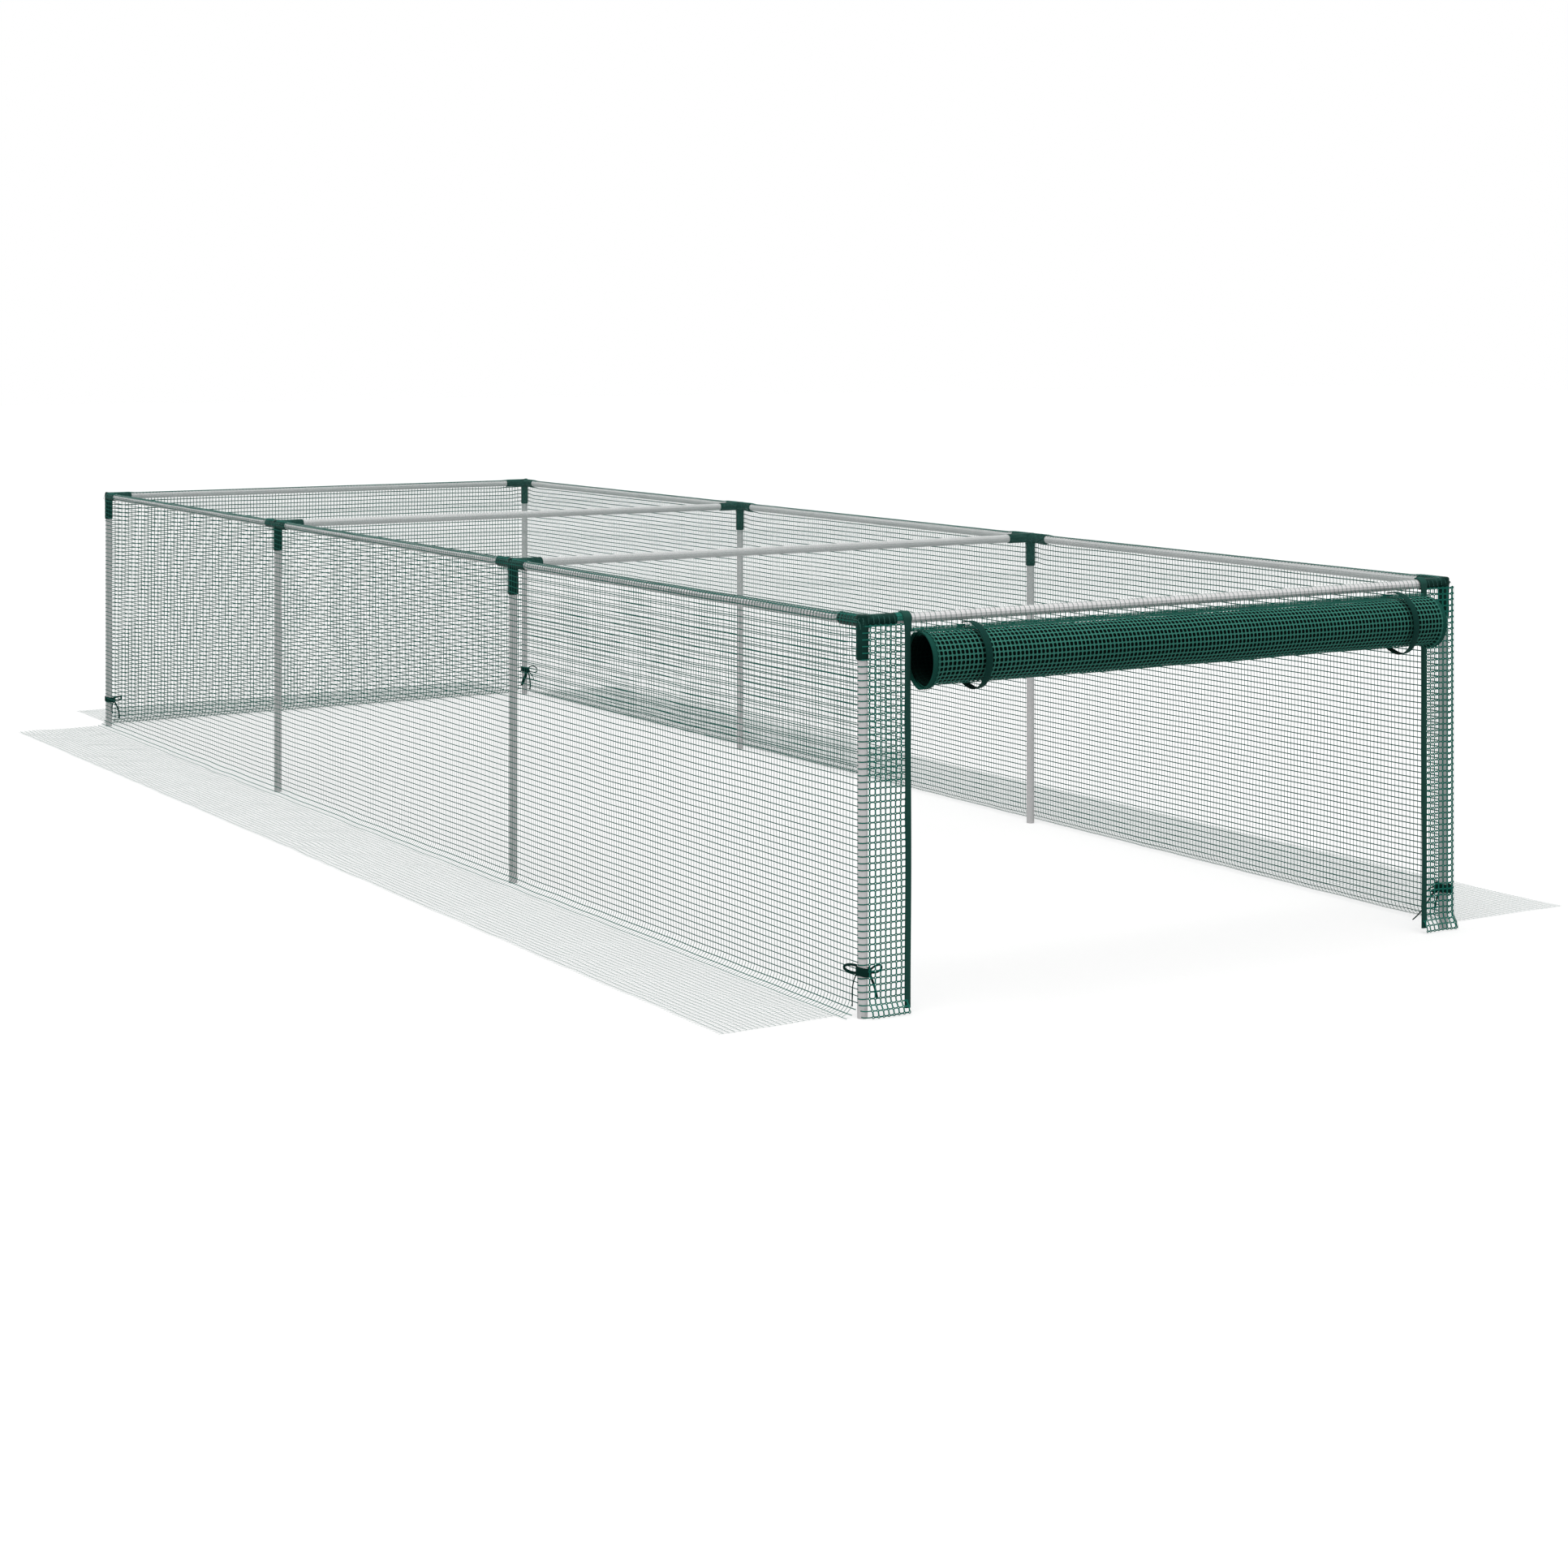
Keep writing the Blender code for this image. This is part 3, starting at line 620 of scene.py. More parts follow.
def wall_profile(down, radius):
    """Outward place and height of a wall net, measured down it from the top seam above the rail."""
    lap = wall_top_lap / radius
    turn = np.clip(down / radius - lap, -lap, math.pi / 2)
    out = radius * np.sin(turn)
    height = rail_height + radius * np.cos(turn)
    rest = np.maximum(down - radius * (math.pi / 2 + lap), 0)
    drop = rail_height - ground_clearance - fold_radius
    straight = np.minimum(rest, drop)
    height = height - straight
    past = np.maximum(rest - drop, 0)
    bend = np.minimum(past / fold_radius, math.radians(86))
    out = out + fold_radius * (1 - np.cos(bend))
    height = height - fold_radius * np.sin(bend)
    return out, height


def wall_radius(along, down, rows):
    """The net stands out further over the connectors than over bare tube."""
    distance = np.min([np.abs(along - row) for row in rows], axis=0)
    beside_rail = on_sleeve(distance) * (1 - smooth_step((down - 0.02) / 0.03))
    beside_post = on_sleeve(np.maximum(down - 0.016, 0)) * (1 - smooth_step((distance - 0.008) / 0.03))
    return wall_out + sleeve_lift * np.maximum(beside_rail, beside_post)


def wall_at(seed, rows, slack=0.0):
    """A wall's net hung past the given posts; slack is how far it stands off at the first of them."""
    waves = slow_waves(seed, 0.10, 0.45)
    drift = slow_waves(seed + 1, 0.15, 0.6)
    sway = slow_waves(seed + 2, 0.06, 0.2)

    def place(along, down):
        here = along + stitch_drift * drift(along, down)
        below = down + stitch_drift * drift(down + 3, along)
        out, height = wall_profile(below, wall_radius(along, down, rows))
        span = np.clip((along - rows[0]) / (rows[1] - rows[0]), 0, len(rows) - 1) % 1
        free = np.sin(math.pi * span) * np.sin(math.pi * np.clip((down - 0.02) / foot_top, 0, 1))
        foot = smooth_step((down - foot_top) / foot_length)
        near_first = 1 - smooth_step((along - rows[0]) / slack_reach)
        out = out + slack * near_first * smooth_step((down - 0.004) / 0.02)
        out = out + free * (wall_bulge + wall_unevenness * waves(along, down))
        out = out + foot * foot_sway * sway(along, down * 0.2)
        return here + foot * foot_shift * sway(along * 0.5 + 7, 0), out, height

    return place


def hem(at, along_steps):
    """The close rows of stitches along the top tube that join a wall to the roof."""
    return net_strands(at, [], hem_rows, [], along_steps, (hem_strand, hem_strand), strand_thick)


wall_down_steps = np.concatenate([
    np.linspace(0, 0.024, 6), np.linspace(0.024, foot_top, 29)[1:], np.linspace(foot_top, wall_height, 6)[1:]])
wall_rows_down = 0.0035 + wall_mesh_down * np.arange(62)
side_columns = np.arange(front_y + 0.0128, back_y - 0.006, wall_mesh_along)
post_steps = (np.array(post_rows[1:3])[:, None] + beside_tube).ravel()
side_steps = np.unique(np.concatenate([
    np.linspace(front_y - 0.001, front_y + 0.02, 6), np.linspace(front_y + 0.02, back_y - 0.02, 205)[1:],
    np.linspace(back_y - 0.02, back_y + 0.001, 6)[1:], post_steps]))
corner_slack = 0.0060
side_places = {"left": wall_at(21, post_rows), "right": wall_at(31, post_rows, corner_slack)}
side_signs = {"left": -1, "right": 1}
side_axis = {"left": left_x, "right": right_x}
for side in ("left", "right"):
    def side_wall_at(along, down):
        here, out, height = side_places[side](along, down)
        return np.stack([side_axis[side] + side_signs[side] * out, here, height], axis=-1)

    wall = piece_from(
        "wall_net_%s_hung" % side,
        net_strands(side_wall_at, side_columns, wall_rows_down, wall_down_steps, side_steps,
                    wall_strands[side], strand_thick) + hem(side_wall_at, side_steps),
        wall_finish)
    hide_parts("wall_net_" + side)

back_place = wall_at(41, [left_x, right_x])


def back_wall_at(along, down):
    """along is counted across the cage; beyond each post the net turns its corner."""
    here, out, height = back_place(np.clip(along, left_x, right_x), down)
    beyond = along - np.clip(along, left_x, right_x)
    angle = np.minimum(np.abs(beyond) / wall_corner, math.pi / 2)
    radius = np.maximum(out, wall_out)
    turned = beyond != 0
    x = np.where(turned, np.clip(along, left_x, right_x) + np.sign(beyond) * radius * np.sin(angle), here)
    y = back_y + np.where(turned, radius * np.cos(angle), out)
    return np.stack([x, y, height], axis=-1)


back_columns = np.arange(left_x + 0.011, right_x - 0.009, wall_mesh_along)
round_post = np.linspace(0, wall_corner * math.pi / 2, 4)
back_steps = np.concatenate([
    left_x - round_post[::-1], np.linspace(left_x, right_x, 69)[1:-1], right_x + round_post])
back_wall = piece_from(
    "wall_net_back_hung",
    net_strands(back_wall_at, back_columns, wall_rows_down, wall_down_steps, back_steps,
                wall_strands["back"], strand_thick) + hem(back_wall_at, back_steps),
    wall_finish)
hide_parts("wall_net_back")


# Ground skirts: the foot of each wall carries on as a strip of net that lies loose on the ground. It
# lies almost flat, in very low ripples, and its cut edge wanders a little.
skirt_strand = 0.00105
skirt_start = 0.031
cut_edge = 0.004
edge_wander = 0.0014
least_height, ripple_height, fold_height = 0.0006, 0.0014, 0.0012
flare_out, flare_forward, flare_reach = 0.009, 0.008, 0.12
skirt_finish = yarn_finish("skirt_yarn", (0.030, 0.098, 0.082), (0.066, 0.190, 0.160))


def skirt_at(seed, inner_edge, outer_edge):
    """inner_edge and outer_edge give the skirt's ground places (x, y) along its two long edges."""
    ripples = slow_waves(seed, 0.07, 0.30)
    drift = slow_waves(seed + 1, 0.2, 0.7)

    def at(along, share):
        inner = np.stack(np.broadcast_arrays(*inner_edge(along)), axis=-1)
        outer = np.stack(np.broadcast_arrays(*outer_edge(along)), axis=-1)
        wander = edge_wander * np.stack([drift(along, share), drift(along + 4, share)], axis=-1)
        ground = inner * (1 - share[..., None]) + (outer + wander) * share[..., None]
        rippled = smooth_step(share * 6) * np.abs(ripples(along, share * 0.25)) ** 1.5
        height = least_height + ripple_height * rippled + fold_height * (1 - smooth_step(share * 8))
        return np.concatenate([ground, height[..., None]], axis=-1)

    return at


def skirt_net(node, at, width, start, end):
    columns = np.arange(start, end, wall_mesh_along)
    rows = (np.arange(int(width / wall_mesh_down) + 1) + 0.5) * wall_mesh_down / width
    across_steps = np.linspace(0, 1, int(width / 0.02) + 2)
    along_steps = np.linspace(start, end, int((end - start) / 0.0175) + 2)
    parts = net_strands(at, columns, rows[rows < 1.0], across_steps, along_steps,
                        (skirt_strand, skirt_strand), strand_thick, nudges=(0.0004, 0.002))
    skirt = piece_from("%s_laid" % node, parts, skirt_finish)
    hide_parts(node)


for side, seed in (("left", 51), ("right", 61)):
    low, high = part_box("skirt_" + side)
    sign = side_signs[side]
    inner_x = side_axis[side] + sign * skirt_start
    outer_x = low.x if side == "left" else high.x

    def outer_edge(along):
        flare = np.exp((low.y - along) / flare_reach) if side == "right" else 0
        return outer_x - sign * cut_edge + flare_out * flare, along - flare_forward * flare

    skirt_net("skirt_" + side, skirt_at(seed, lambda along: (inner_x, along), outer_edge),
              abs(outer_x - inner_x), low.y, high.y)

low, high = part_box("skirt_back")
back_skirt_at = skirt_at(71, lambda along: (along, back_y + skirt_start),
                         lambda along: (along, high.y - cut_edge))
skirt_net("skirt_back", back_skirt_at, high.y - back_y - skirt_start, low.x, high.x)


# Returns: narrow strips of the wall net that turn the corner posts and end at the doorway. Seen this
# close the knit shows: each crossing is a small eye of four short strands, so the meshes look rounded.
eye_hole = 0.0011
eye_reach = 0.0034
strut_half = 0.00115
knit_thick = 0.0004
net_finish = yarn_finish("net_yarn", (0.008, 0.120, 0.092), (0.026, 0.230, 0.178))


def knitted_net(at, columns, rows, hole=eye_hole, reach=eye_reach, half=strut_half, solid=True):
    """A net with an eye at each crossing; at(u, v) gives its surface. Unless solid it has no back."""
    tip = reach - half
    eye = [(tip, -half), (tip, half), (half, tip), (-half, tip), (-tip, half), (-tip, -half), (-half, -tip),
           (half, -tip), (hole, 0), (0, hole), (-hole, 0), (0, -hole)]
    offsets = np.array(eye)
    u = np.asarray(columns)[:, None, None] + offsets[None, None, :, 0]
    v = np.asarray(rows)[None, :, None] + offsets[None, None, :, 1]
    u, v = np.broadcast_arrays(u, v)
    points = at(u, v)
    nudge = 0.0003
    normal = np.cross(at(u + nudge, v) - at(u - nudge, v), at(u, v + nudge) - at(u, v - nudge))
    normal /= np.linalg.norm(normal, axis=-1, keepdims=True)
    upper, lower = points + normal * knit_thick / 2, points - normal * knit_thick / 2
    across, down, corners = points.shape[:3]
    top = np.arange(across * down * corners).reshape(across, down, corners)
    low = top + top.size
    faces = []

    def add(*ids):
        faces.extend(np.stack([i.ravel() for i in ids], axis=1).tolist())

    def both_sides(places):
        """A face of the net and, under it, the same face of its back; places are (grid, corner) pairs."""
        add(*[top[grid][..., c] for grid, c in places])
        if solid:
            add(*[low[grid][..., c] for grid, c in places[::-1]])

    def rim(grid_a, a, grid_b, b):
        add(top[grid_b][..., b], top[grid_a][..., a], low[grid_a][..., a], low[grid_b][..., b])

    every = (slice(None), slice(None))
    east, west = (slice(None, -1), slice(None)), (slice(1, None), slice(None))
    north, south = (slice(None), slice(None, -1)), (slice(None), slice(1, None))
    for face in ((0, 1, 8), (2, 3, 9), (4, 5, 10), (6, 7, 11),
                 (1, 2, 9, 8), (3, 4, 10, 9), (5, 6, 11, 10), (7, 0, 8, 11)):
        both_sides([(every, c) for c in face])
    both_sides([(east, 0), (west, 5), (west, 4), (east, 1)])
    both_sides([(north, 2), (south, 7), (south, 6), (north, 3)])
    for a, b in ((1, 2), (3, 4), (5, 6), (7, 0)):
        rim(every, a, every, b)
    for grid_a, a, grid_b, b in (
            (east, 0, west, 5), (west, 4, east, 1), (north, 2, south, 7), (south, 6, north, 3)):
        rim(grid_a, a, grid_b, b)
    if solid:
        for a, b in ((9, 8), (10, 9), (11, 10), (8, 11)):
            rim(every, a, every, b)
        for grid, a, b in (((0, slice(None)), 4, 5), ((-1, slice(None)), 0, 1),
                           ((slice(None), 0), 6, 7), ((slice(None), -1), 2, 3)):
            rim(grid, a, grid, b)
    return np.concatenate([upper.reshape(-1, 3), lower.reshape(-1, 3)]), faces


def round_front_tube(x, angle, radius):
    """Points round the front tube. The angle is 0 in front of it and grows over the top."""
    return np.stack([x, front_y - radius * np.cos(angle), rail_height + radius * np.sin(angle)], axis=-1)


return_rows = rail_height - 0.0075 - wall_mesh_down * np.arange(59)
return_out = 0.0086
doorway_out = 0.0113
bend_length = {"left": 0.0093, "right": 0.0150}
full_corner = 0.0150
squareness = 0.55
hem_height, hem_out, hem_rise = 0.028, 0.010, 0.0050
free_after = 0.02
gather_radius, gather_top = 0.0094, 0.0097
wrap_strand, gather_strands = 0.0018, (0.0016, 0.0014)
left_columns = 0.0069 + 0.00913 * np.arange(8)
left_wrap = np.array([-0.0146, -0.0097, -0.0049, 0, 0.004, 0.0060])
right_columns = np.array([-0.0195, -0.0108, -0.0022, 0.0052, 0.0130, 0.0220, 0.0315, 0.0410, 0.0505, 0.0575])


def return_at(side):
    """u is counted from the post towards the doorway, negative round the post, and v is the height. The
    net lies close round the left post, and turns the right one in a fuller, squarer bend."""
    sign = -side_signs[side]
    ripple = slow_waves(81 if side == "left" else 91, 0.06, 0.25)
    stands_off = return_out + (corner_slack if side == "right" else 0)

    def at(u, v):
        angle = np.clip(-u / bend_length[side], 0, math.pi / 2)
        foot = smooth_step((hem_height - v) / hem_height)
        free = smooth_step(u / free_after)
        beside, ahead = np.sin(angle), np.cos(angle)
        radius = return_out + sleeve_lift * on_sleeve(rail_height - v)
        if side == "right":
            radius, beside, ahead = full_corner, beside ** squareness, ahead ** squareness
        out = radius * ahead + free * (doorway_out - radius + 0.0006 * ripple(u, v)) + foot * hem_out
        inward = np.maximum(u, 0) - stands_off * beside
        x = side_axis[side] + sign * inward + 0.0007 * ripple(v, u) * free
        return np.stack([x, front_y - out, v + 0.0006 * ripple(u + 1, v) + foot * hem_rise], axis=-1)

    return at


for side in ("left", "right"):
    low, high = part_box("binding_" + side)
    arm_low, arm_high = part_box("connector_%s_1" % side)
    at = return_at(side)
    if side == "left":
        gather_ends = sorted((arm_high.x, low.x + 0.001))
        parts = [knitted_net(at, left_columns, return_rows[::-1])]
        v, u = np.meshgrid(return_rows, left_wrap, indexing="ij")
        nudge = 0.0004
        parts.append(strands(at(u, v), at(u, v + nudge) - at(u, v - nudge), wrap_strand, knit_thick))
    else:
        gather_ends = sorted((arm_low.x, high.x - 0.001))
        parts = [knitted_net(lambda u, v: at(-u, v), -right_columns[::-1], return_rows[::-1])]
    gather_x = np.linspace(gather_ends[0] - 0.002, gather_ends[1], 9)
    x, a = np.meshgrid(gather_x, np.radians(np.linspace(-15, 105, 10)), indexing="ij")
    over_tube = round_front_tube(x + 0.0012 * np.sin(5 * a), a, gather_radius)
    parts.append(strands(over_tube, np.array([1.0, 0, 0]) + 0 * over_tube, gather_strands[0], knit_thick))
    a, x = np.meshgrid(np.radians([0, 32, 64, 96]), gather_x, indexing="ij")
    steepest = np.stack([0 * x, np.sin(a), np.cos(a)], axis=-1)
    parts.append(strands(round_front_tube(x, a, gather_top), steepest, gather_strands[1], knit_thick))
    strip = piece_from("return_net_%s_hung" % side, parts, net_finish)
    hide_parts("return_net_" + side)


# Bindings: folded woven tape sewn over the free edge of each return. It comes up the doorway, turns
# over the front tube and ends just behind it, with a row of stitches along its inner side.
tape_width = 0.0100
tape_thickness = 0.0045
binding_out = 0.01175
spread_height = 0.576
spread_width, pressed_flat = 0.0050, 0.0018
tucked_in, tucked_to = 0.0016, math.radians(112)
doorway_steps = 60
stitch_pitch = 0.0034
stitch_length = 0.0022
stitch_thick = 0.0005


def sine_lines(tree, run, pitch):
    """A wave that rises and falls once in each pitch of the run."""
    turns = math_node(tree, "DIVIDE", run, pitch)
    return math_node(tree, "SINE", math_node(tree, "MULTIPLY", turns, 2 * math.pi))


woven_tape, given, where = finish_group("woven_tape", {
    "Tape Colour": (0.01, 0.05, 0.04, 1), "Pale Colour": (0.02, 0.08, 0.06, 1), "Rib Direction": (0, 0, 1),
    "Rib Pitch": 0.0011, "Roughness": 0.7})
ribs = woven_tape.nodes.new("ShaderNodeVectorMath")
ribs.operation = "DOT_PRODUCT"
woven_tape.links.new(where, ribs.inputs[0])
woven_tape.links.new(given["Rib Direction"], ribs.inputs[1])
rib_wave = sine_lines(woven_tape, ribs.outputs["Value"], given["Rib Pitch"])
fibres = noise_node(woven_tape, where, 1900, 3)
dust = noise_node(woven_tape, where, 34, 4)
weave = math_node(woven_tape, "ADD", math_node(woven_tape, "MULTIPLY", rib_wave, 0.28), fibres)
give_out(woven_tape, given, weighed(woven_tape, weave, 0.4, dust, 0.4), ("Tape Colour", "Pale Colour"),
         math_node(woven_tape, "MULTIPLY", fibres, 0.15), weave)


def tape_finish(name, dark, pale, direction, pitch, roughness=0.7):
    values = {"Tape Colour": dark, "Pale Colour": pale, "Rib Direction": direction, "Rib Pitch": pitch,
              "Roughness": roughness}
    return dressed(name, woven_tape, values, shine=0.05, bump=0.6, reach=0.0004)


binding_finish = tape_finish("binding_tape", (0.013, 0.062, 0.050), (0.034, 0.116, 0.095), (0, 0, 1), 0.0012)


def rounded_section(width, thickness, corner=4):
    """Corners of a flat bar's section with round edges, as (along the width, along the thickness)."""
    radius = min(thickness, width) * 0.46
    points = []
    for cx, cy, start in ((1, 1, 0), (-1, 1, 90), (-1, -1, 180), (1, -1, 270)):
        for k in range(corner):
            a = math.radians(start + 90 * k / (corner - 1))
            points.append((cx * (width / 2 - radius) + radius * math.cos(a),
                           cy * (thickness / 2 - radius) + radius * math.sin(a)))
    return points


def ring_faces(count, size, closed=False):
    """The skin over count rings of size points each. Unless it is closed, a flat face ends it both ways."""
    faces = []
    for k in range(count if closed else count - 1):
        here, ahead = k * size, (k + 1) % count * size
        for j in range(size):
            n = (j + 1) % size
            faces.append([here + j, here + n, ahead + n, ahead + j])
    if not closed:
        faces += [list(range(size))[::-1], [(count - 1) * size + j for j in range(size)]]
    return faces


def tape_along(path, sideways, width, thickness, closed=False):
    """A flat band along a path of points; sideways gives the way that its width lies at each."""
    path = np.asarray(path, float)
    sideways = np.broadcast_to(np.asarray(sideways, float), path.shape).copy()
    if closed:
        along = np.roll(path, -1, axis=0) - np.roll(path, 1, axis=0)
    else:
        along = np.gradient(path, axis=0)
    along /= np.linalg.norm(along, axis=1, keepdims=True)
    sideways -= np.sum(sideways * along, axis=1, keepdims=True) * along
    sideways /= np.linalg.norm(sideways, axis=1, keepdims=True)
    out = np.cross(along, sideways)
    widths, thicknesses = [np.broadcast_to(size, (len(path),)) for size in (width, thickness)]
    rings = []
    for k, place in enumerate(path):
        section = rounded_section(widths[k], thicknesses[k])
        rings.append([place + a * sideways[k] + b * out[k] for a, b in section])
    return np.array(rings).reshape(-1, 3), ring_faces(len(path), len(rings[0]), closed)


def stitch_row(path, shift, lift, pitch=stitch_pitch):
    """Short thread stitches along a path, moved along X by shift and out by lift."""
    sideways = np.array([1.0, 0, 0])
    run = np.concatenate([[0], np.cumsum(np.linalg.norm(np.diff(path, axis=0), axis=1))])
    rise = lift + stitch_thick * (np.array([0.1, 0.9, 0.9, 0.1]) - 0.5)
    parts = []
    for middle in np.arange(pitch, run[-1] - pitch, pitch):
        places = middle + stitch_length * np.array([-0.5, -0.25, 0.25, 0.5])
        line = np.stack([np.interp(places, run, path[:, k]) for k in range(3)], axis=1)
        along = (line[-1] - line[0]) / np.linalg.norm(line[-1] - line[0])
        line = line + sideways * shift + np.cross(along, sideways) * rise[:, None]
        parts.append(tape_along(line, sideways, stitch_thick * 1.3, stitch_thick))
    return parts


def binding_path(x, side):
    """Up the doorway, over the front tube and a little way down behind it."""
    ripple = slow_waves(101 if side == "left" else 111, 0.12, 0.5)
    up = np.linspace(0.008, rail_height, doorway_steps)
    out = binding_out + 0.0003 * ripple(0, up)
    doorway = np.stack([x + 0.0007 * ripple(up, 0), front_y - out, up], axis=-1)
    share = np.arange(1, 15) / 14
    closer = binding_out - tucked_in * np.minimum(2 * share, 1)
    return np.concatenate([doorway, round_front_tube(x + 0 * share, tucked_to * share, closer)])


for side in ("left", "right"):
    low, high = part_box("binding_" + side)
    path = binding_path((low.x + high.x) / 2 - 0.0006, side)
    over_tube = smooth_step((path[:, 2] - spread_height) / 0.012)
    over_tube[doorway_steps:] = 1
    widths, thicknesses = tape_width + spread_width * over_tube, tape_thickness - pressed_flat * over_tube
    parts = [tape_along(path, (1, 0, 0), widths, thicknesses)]
    parts += stitch_row(path[2:doorway_steps - 4], side_signs[side] * 0.0022, tape_thickness / 2)
    binding = piece_from("binding_%s_sewn" % side, parts, binding_finish, smooth=True)
    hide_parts("binding_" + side)


# The flap: the roof net carries on down over the front tube between the two bindings. One row of open
# meshes shows under the tube, and below it the net is doubled over the seam where the door is sewn on.
flap_low, flap_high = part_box("front_flap_net")
seam_top = flap_low.z + 0.0062
door_mesh = 0.00777
flap_ripple = slow_waves(121, 0.05, 0.3)
seam_strands = (0.0012, 0.0011)
flap_out, layer_step = 0.0101, 0.0009


def flap_at(layer):
    def at(u, v):
        out = flap_out + layer_step * layer + 0.0003 * flap_ripple(u, v)
        return np.stack([u, front_y - out, v + 0.0004 * flap_ripple(v, u)], axis=-1)

    return at


flap_columns = np.arange(flap_low.x + 0.0016, flap_high.x - 0.0016, mesh_across)
across_steps = np.linspace(flap_low.x + 0.001, flap_high.x - 0.001, 90)
seam_steps = [flap_low.z, flap_low.z + 0.003, seam_top + 0.0006]
flap_layers = [
    (flap_columns, [0.0004, 0.0062], [flap_low.z, seam_top, rail_height - 0.004], (0.0013, 0.0010)),
    (flap_columns[:-1] + 0.4 * mesh_across, [0.0018, 0.0047], seam_steps, seam_strands),
    (np.arange(flap_low.x + 0.004, flap_high.x - 0.003, door_mesh), [0.0032], seam_steps, seam_strands),
]
flap_parts = []
for layer, (columns, rows, steps, widths) in enumerate(flap_layers):
    flap_parts += net_strands(
        flap_at(layer), columns, flap_low.z + np.array(rows), steps, across_steps, widths, knit_thick)
flap = piece_from("front_flap_hung", flap_parts, net_finish)
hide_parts("front_flap_net")


# The rolled door: the door net wound up under the front tube. The outermost layer shows the knit over the
# wound layers beneath, painted near black as the roll's inner shade, and the hemmed side edges make a thick
# dark rim that droops at each end.
turn_joint = next(joint for joint in frame["joints"] if joint["name"] == "door_turn")
roll_y, roll_z = turn_joint["pos_m"][1:]
roll_round = 0.0420
roll_turns = 2
roll_gap = 0.0026
inner_depth = 0.0014
band_width = 0.0125
door_mesh_round = 0.00828
flat_under = 0.0024
droop_under, swell_above, tight_behind = 0.0028, 0.0012, 0.0020
lump_height, dent_height = 0.0006, 0.0003
under_band = 0.002
end_low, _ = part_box("door_edge_left")
_, end_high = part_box("door_edge_right")
roll_start, roll_end = end_low.x + band_width, end_high.x - band_width
roll_lumps = slow_waves(131, 0.10, 0.5)
roll_dents = slow_waves(132, 0.03, 0.12)
curtain_low, curtain_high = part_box("door_curtain")
net_leaves = math.atan2(curtain_low.z - roll_z, (curtain_low.y + curtain_high.y) / 2 - roll_y)


def round_roll(x, radius, angle):
    """Points round the roll's axis. The angle is 0 on the side towards the cage and 90 degrees on top."""
    y, z = roll_y + radius * np.cos(angle), roll_z + radius * np.sin(angle)
    return np.stack(np.broadcast_arrays(x, y, z), axis=-1)


def roll_radius(x, angle, depth):
    """Radius of the winding: a little flat underneath along the roll, and drooping at its bound ends."""
    middle, half = (roll_start + roll_end) / 2, (roll_end - roll_start) / 2
    droop = smooth_step((np.abs(x - middle) - half + 0.004) / 0.006)
    under = np.maximum(-np.sin(angle), 0) ** 1.5
    above = np.maximum(np.sin(angle), 0)
    behind = np.maximum(np.cos(angle), 0)
    radius = roll_round - depth - flat_under * under * (1 - droop)
    radius = radius + droop * (droop_under * under + swell_above * above - tight_behind * behind)
    lumps = lump_height * roll_lumps(x, 0.05 * np.cos(angle))
    return radius + lumps + dent_height * roll_dents(x, 0.042 * angle)


def outer_layer_at(u, v):
    """u along the roll and v round it, measured at the outer layer from where the net leaves it."""
    angle = net_leaves + v / roll_round
    return round_roll(u, roll_radius(u, angle, 0), angle)


door_finish = yarn_finish(
    "door_net_yarn", (0.019, 0.140, 0.108), (0.078, 0.300, 0.238), shine=0.08, roughness=0.60)
count = int(round((roll_end - roll_start + 2 * under_band) / door_mesh))
outer_columns = np.linspace(roll_start - under_band, roll_end + under_band, count + 1)
rows_round = int(round(2 * math.pi * roll_round / door_mesh_round))
outer_rows = -np.arange(rows_round + 1)[::-1] * (2 * math.pi * roll_round / rows_round)
outer_layer = piece_from(
    "door_roll_outer_layer",
    [knitted_net(outer_layer_at, outer_columns, outer_rows,
                 hole=0.0004, reach=0.0033, half=0.00104, solid=False)],
    door_finish, body="rolled_door")

# Painted shade: the wound layers inside the roll are far darker than the door net, with near-black gaps
# between faint strand lines, for the shade deep in the roll.
wound_net_painted_shade, given, where = finish_group("wound_net_painted_shade", {
    "Painted Shade Colour": (0.001, 0.008, 0.006, 1), "Shaded Strand Colour": (0.01, 0.05, 0.04, 1), "Mesh": 0.008,
    "Roughness": 0.6})
split = wound_net_painted_shade.nodes.new("ShaderNodeSeparateXYZ")
wound_net_painted_shade.links.new(where, split.inputs[0])
turn_y = math_node(wound_net_painted_shade, "SUBTRACT", split.outputs["Y"], roll_y)
turn_z = math_node(wound_net_painted_shade, "SUBTRACT", split.outputs["Z"], roll_z)
run_round = math_node(wound_net_painted_shade, "MULTIPLY", math_node(wound_net_painted_shade, "ARCTAN2", turn_z, turn_y), roll_round)


def line_mask(along, offset):
    """Thin lines one mesh apart, with gaps between them that take the painted shade colour."""
    wave = sine_lines(wound_net_painted_shade, math_node(wound_net_painted_shade, "ADD", along, offset), given["Mesh"])
    return math_node(wound_net_painted_shade, "MAXIMUM", math_node(wound_net_painted_shade, "SUBTRACT", wave, 0.55), 0)


mask = math_node(wound_net_painted_shade, "ADD", line_mask(split.outputs["X"], 0.004), line_mask(run_round, 0.003))
mask = math_node(wound_net_painted_shade, "MINIMUM", math_node(wound_net_painted_shade, "MULTIPLY", mask, 2.0), 1)
fuzz = noise_node(wound_net_painted_shade, where, 700, 2)
mask = math_node(wound_net_painted_shade, "MULTIPLY", mask, fuzz)
give_out(wound_net_painted_shade, given, mask, ("Painted Shade Colour", "Shaded Strand Colour"),
         math_node(wound_net_painted_shade, "MULTIPLY", fuzz, 0.1), mask)
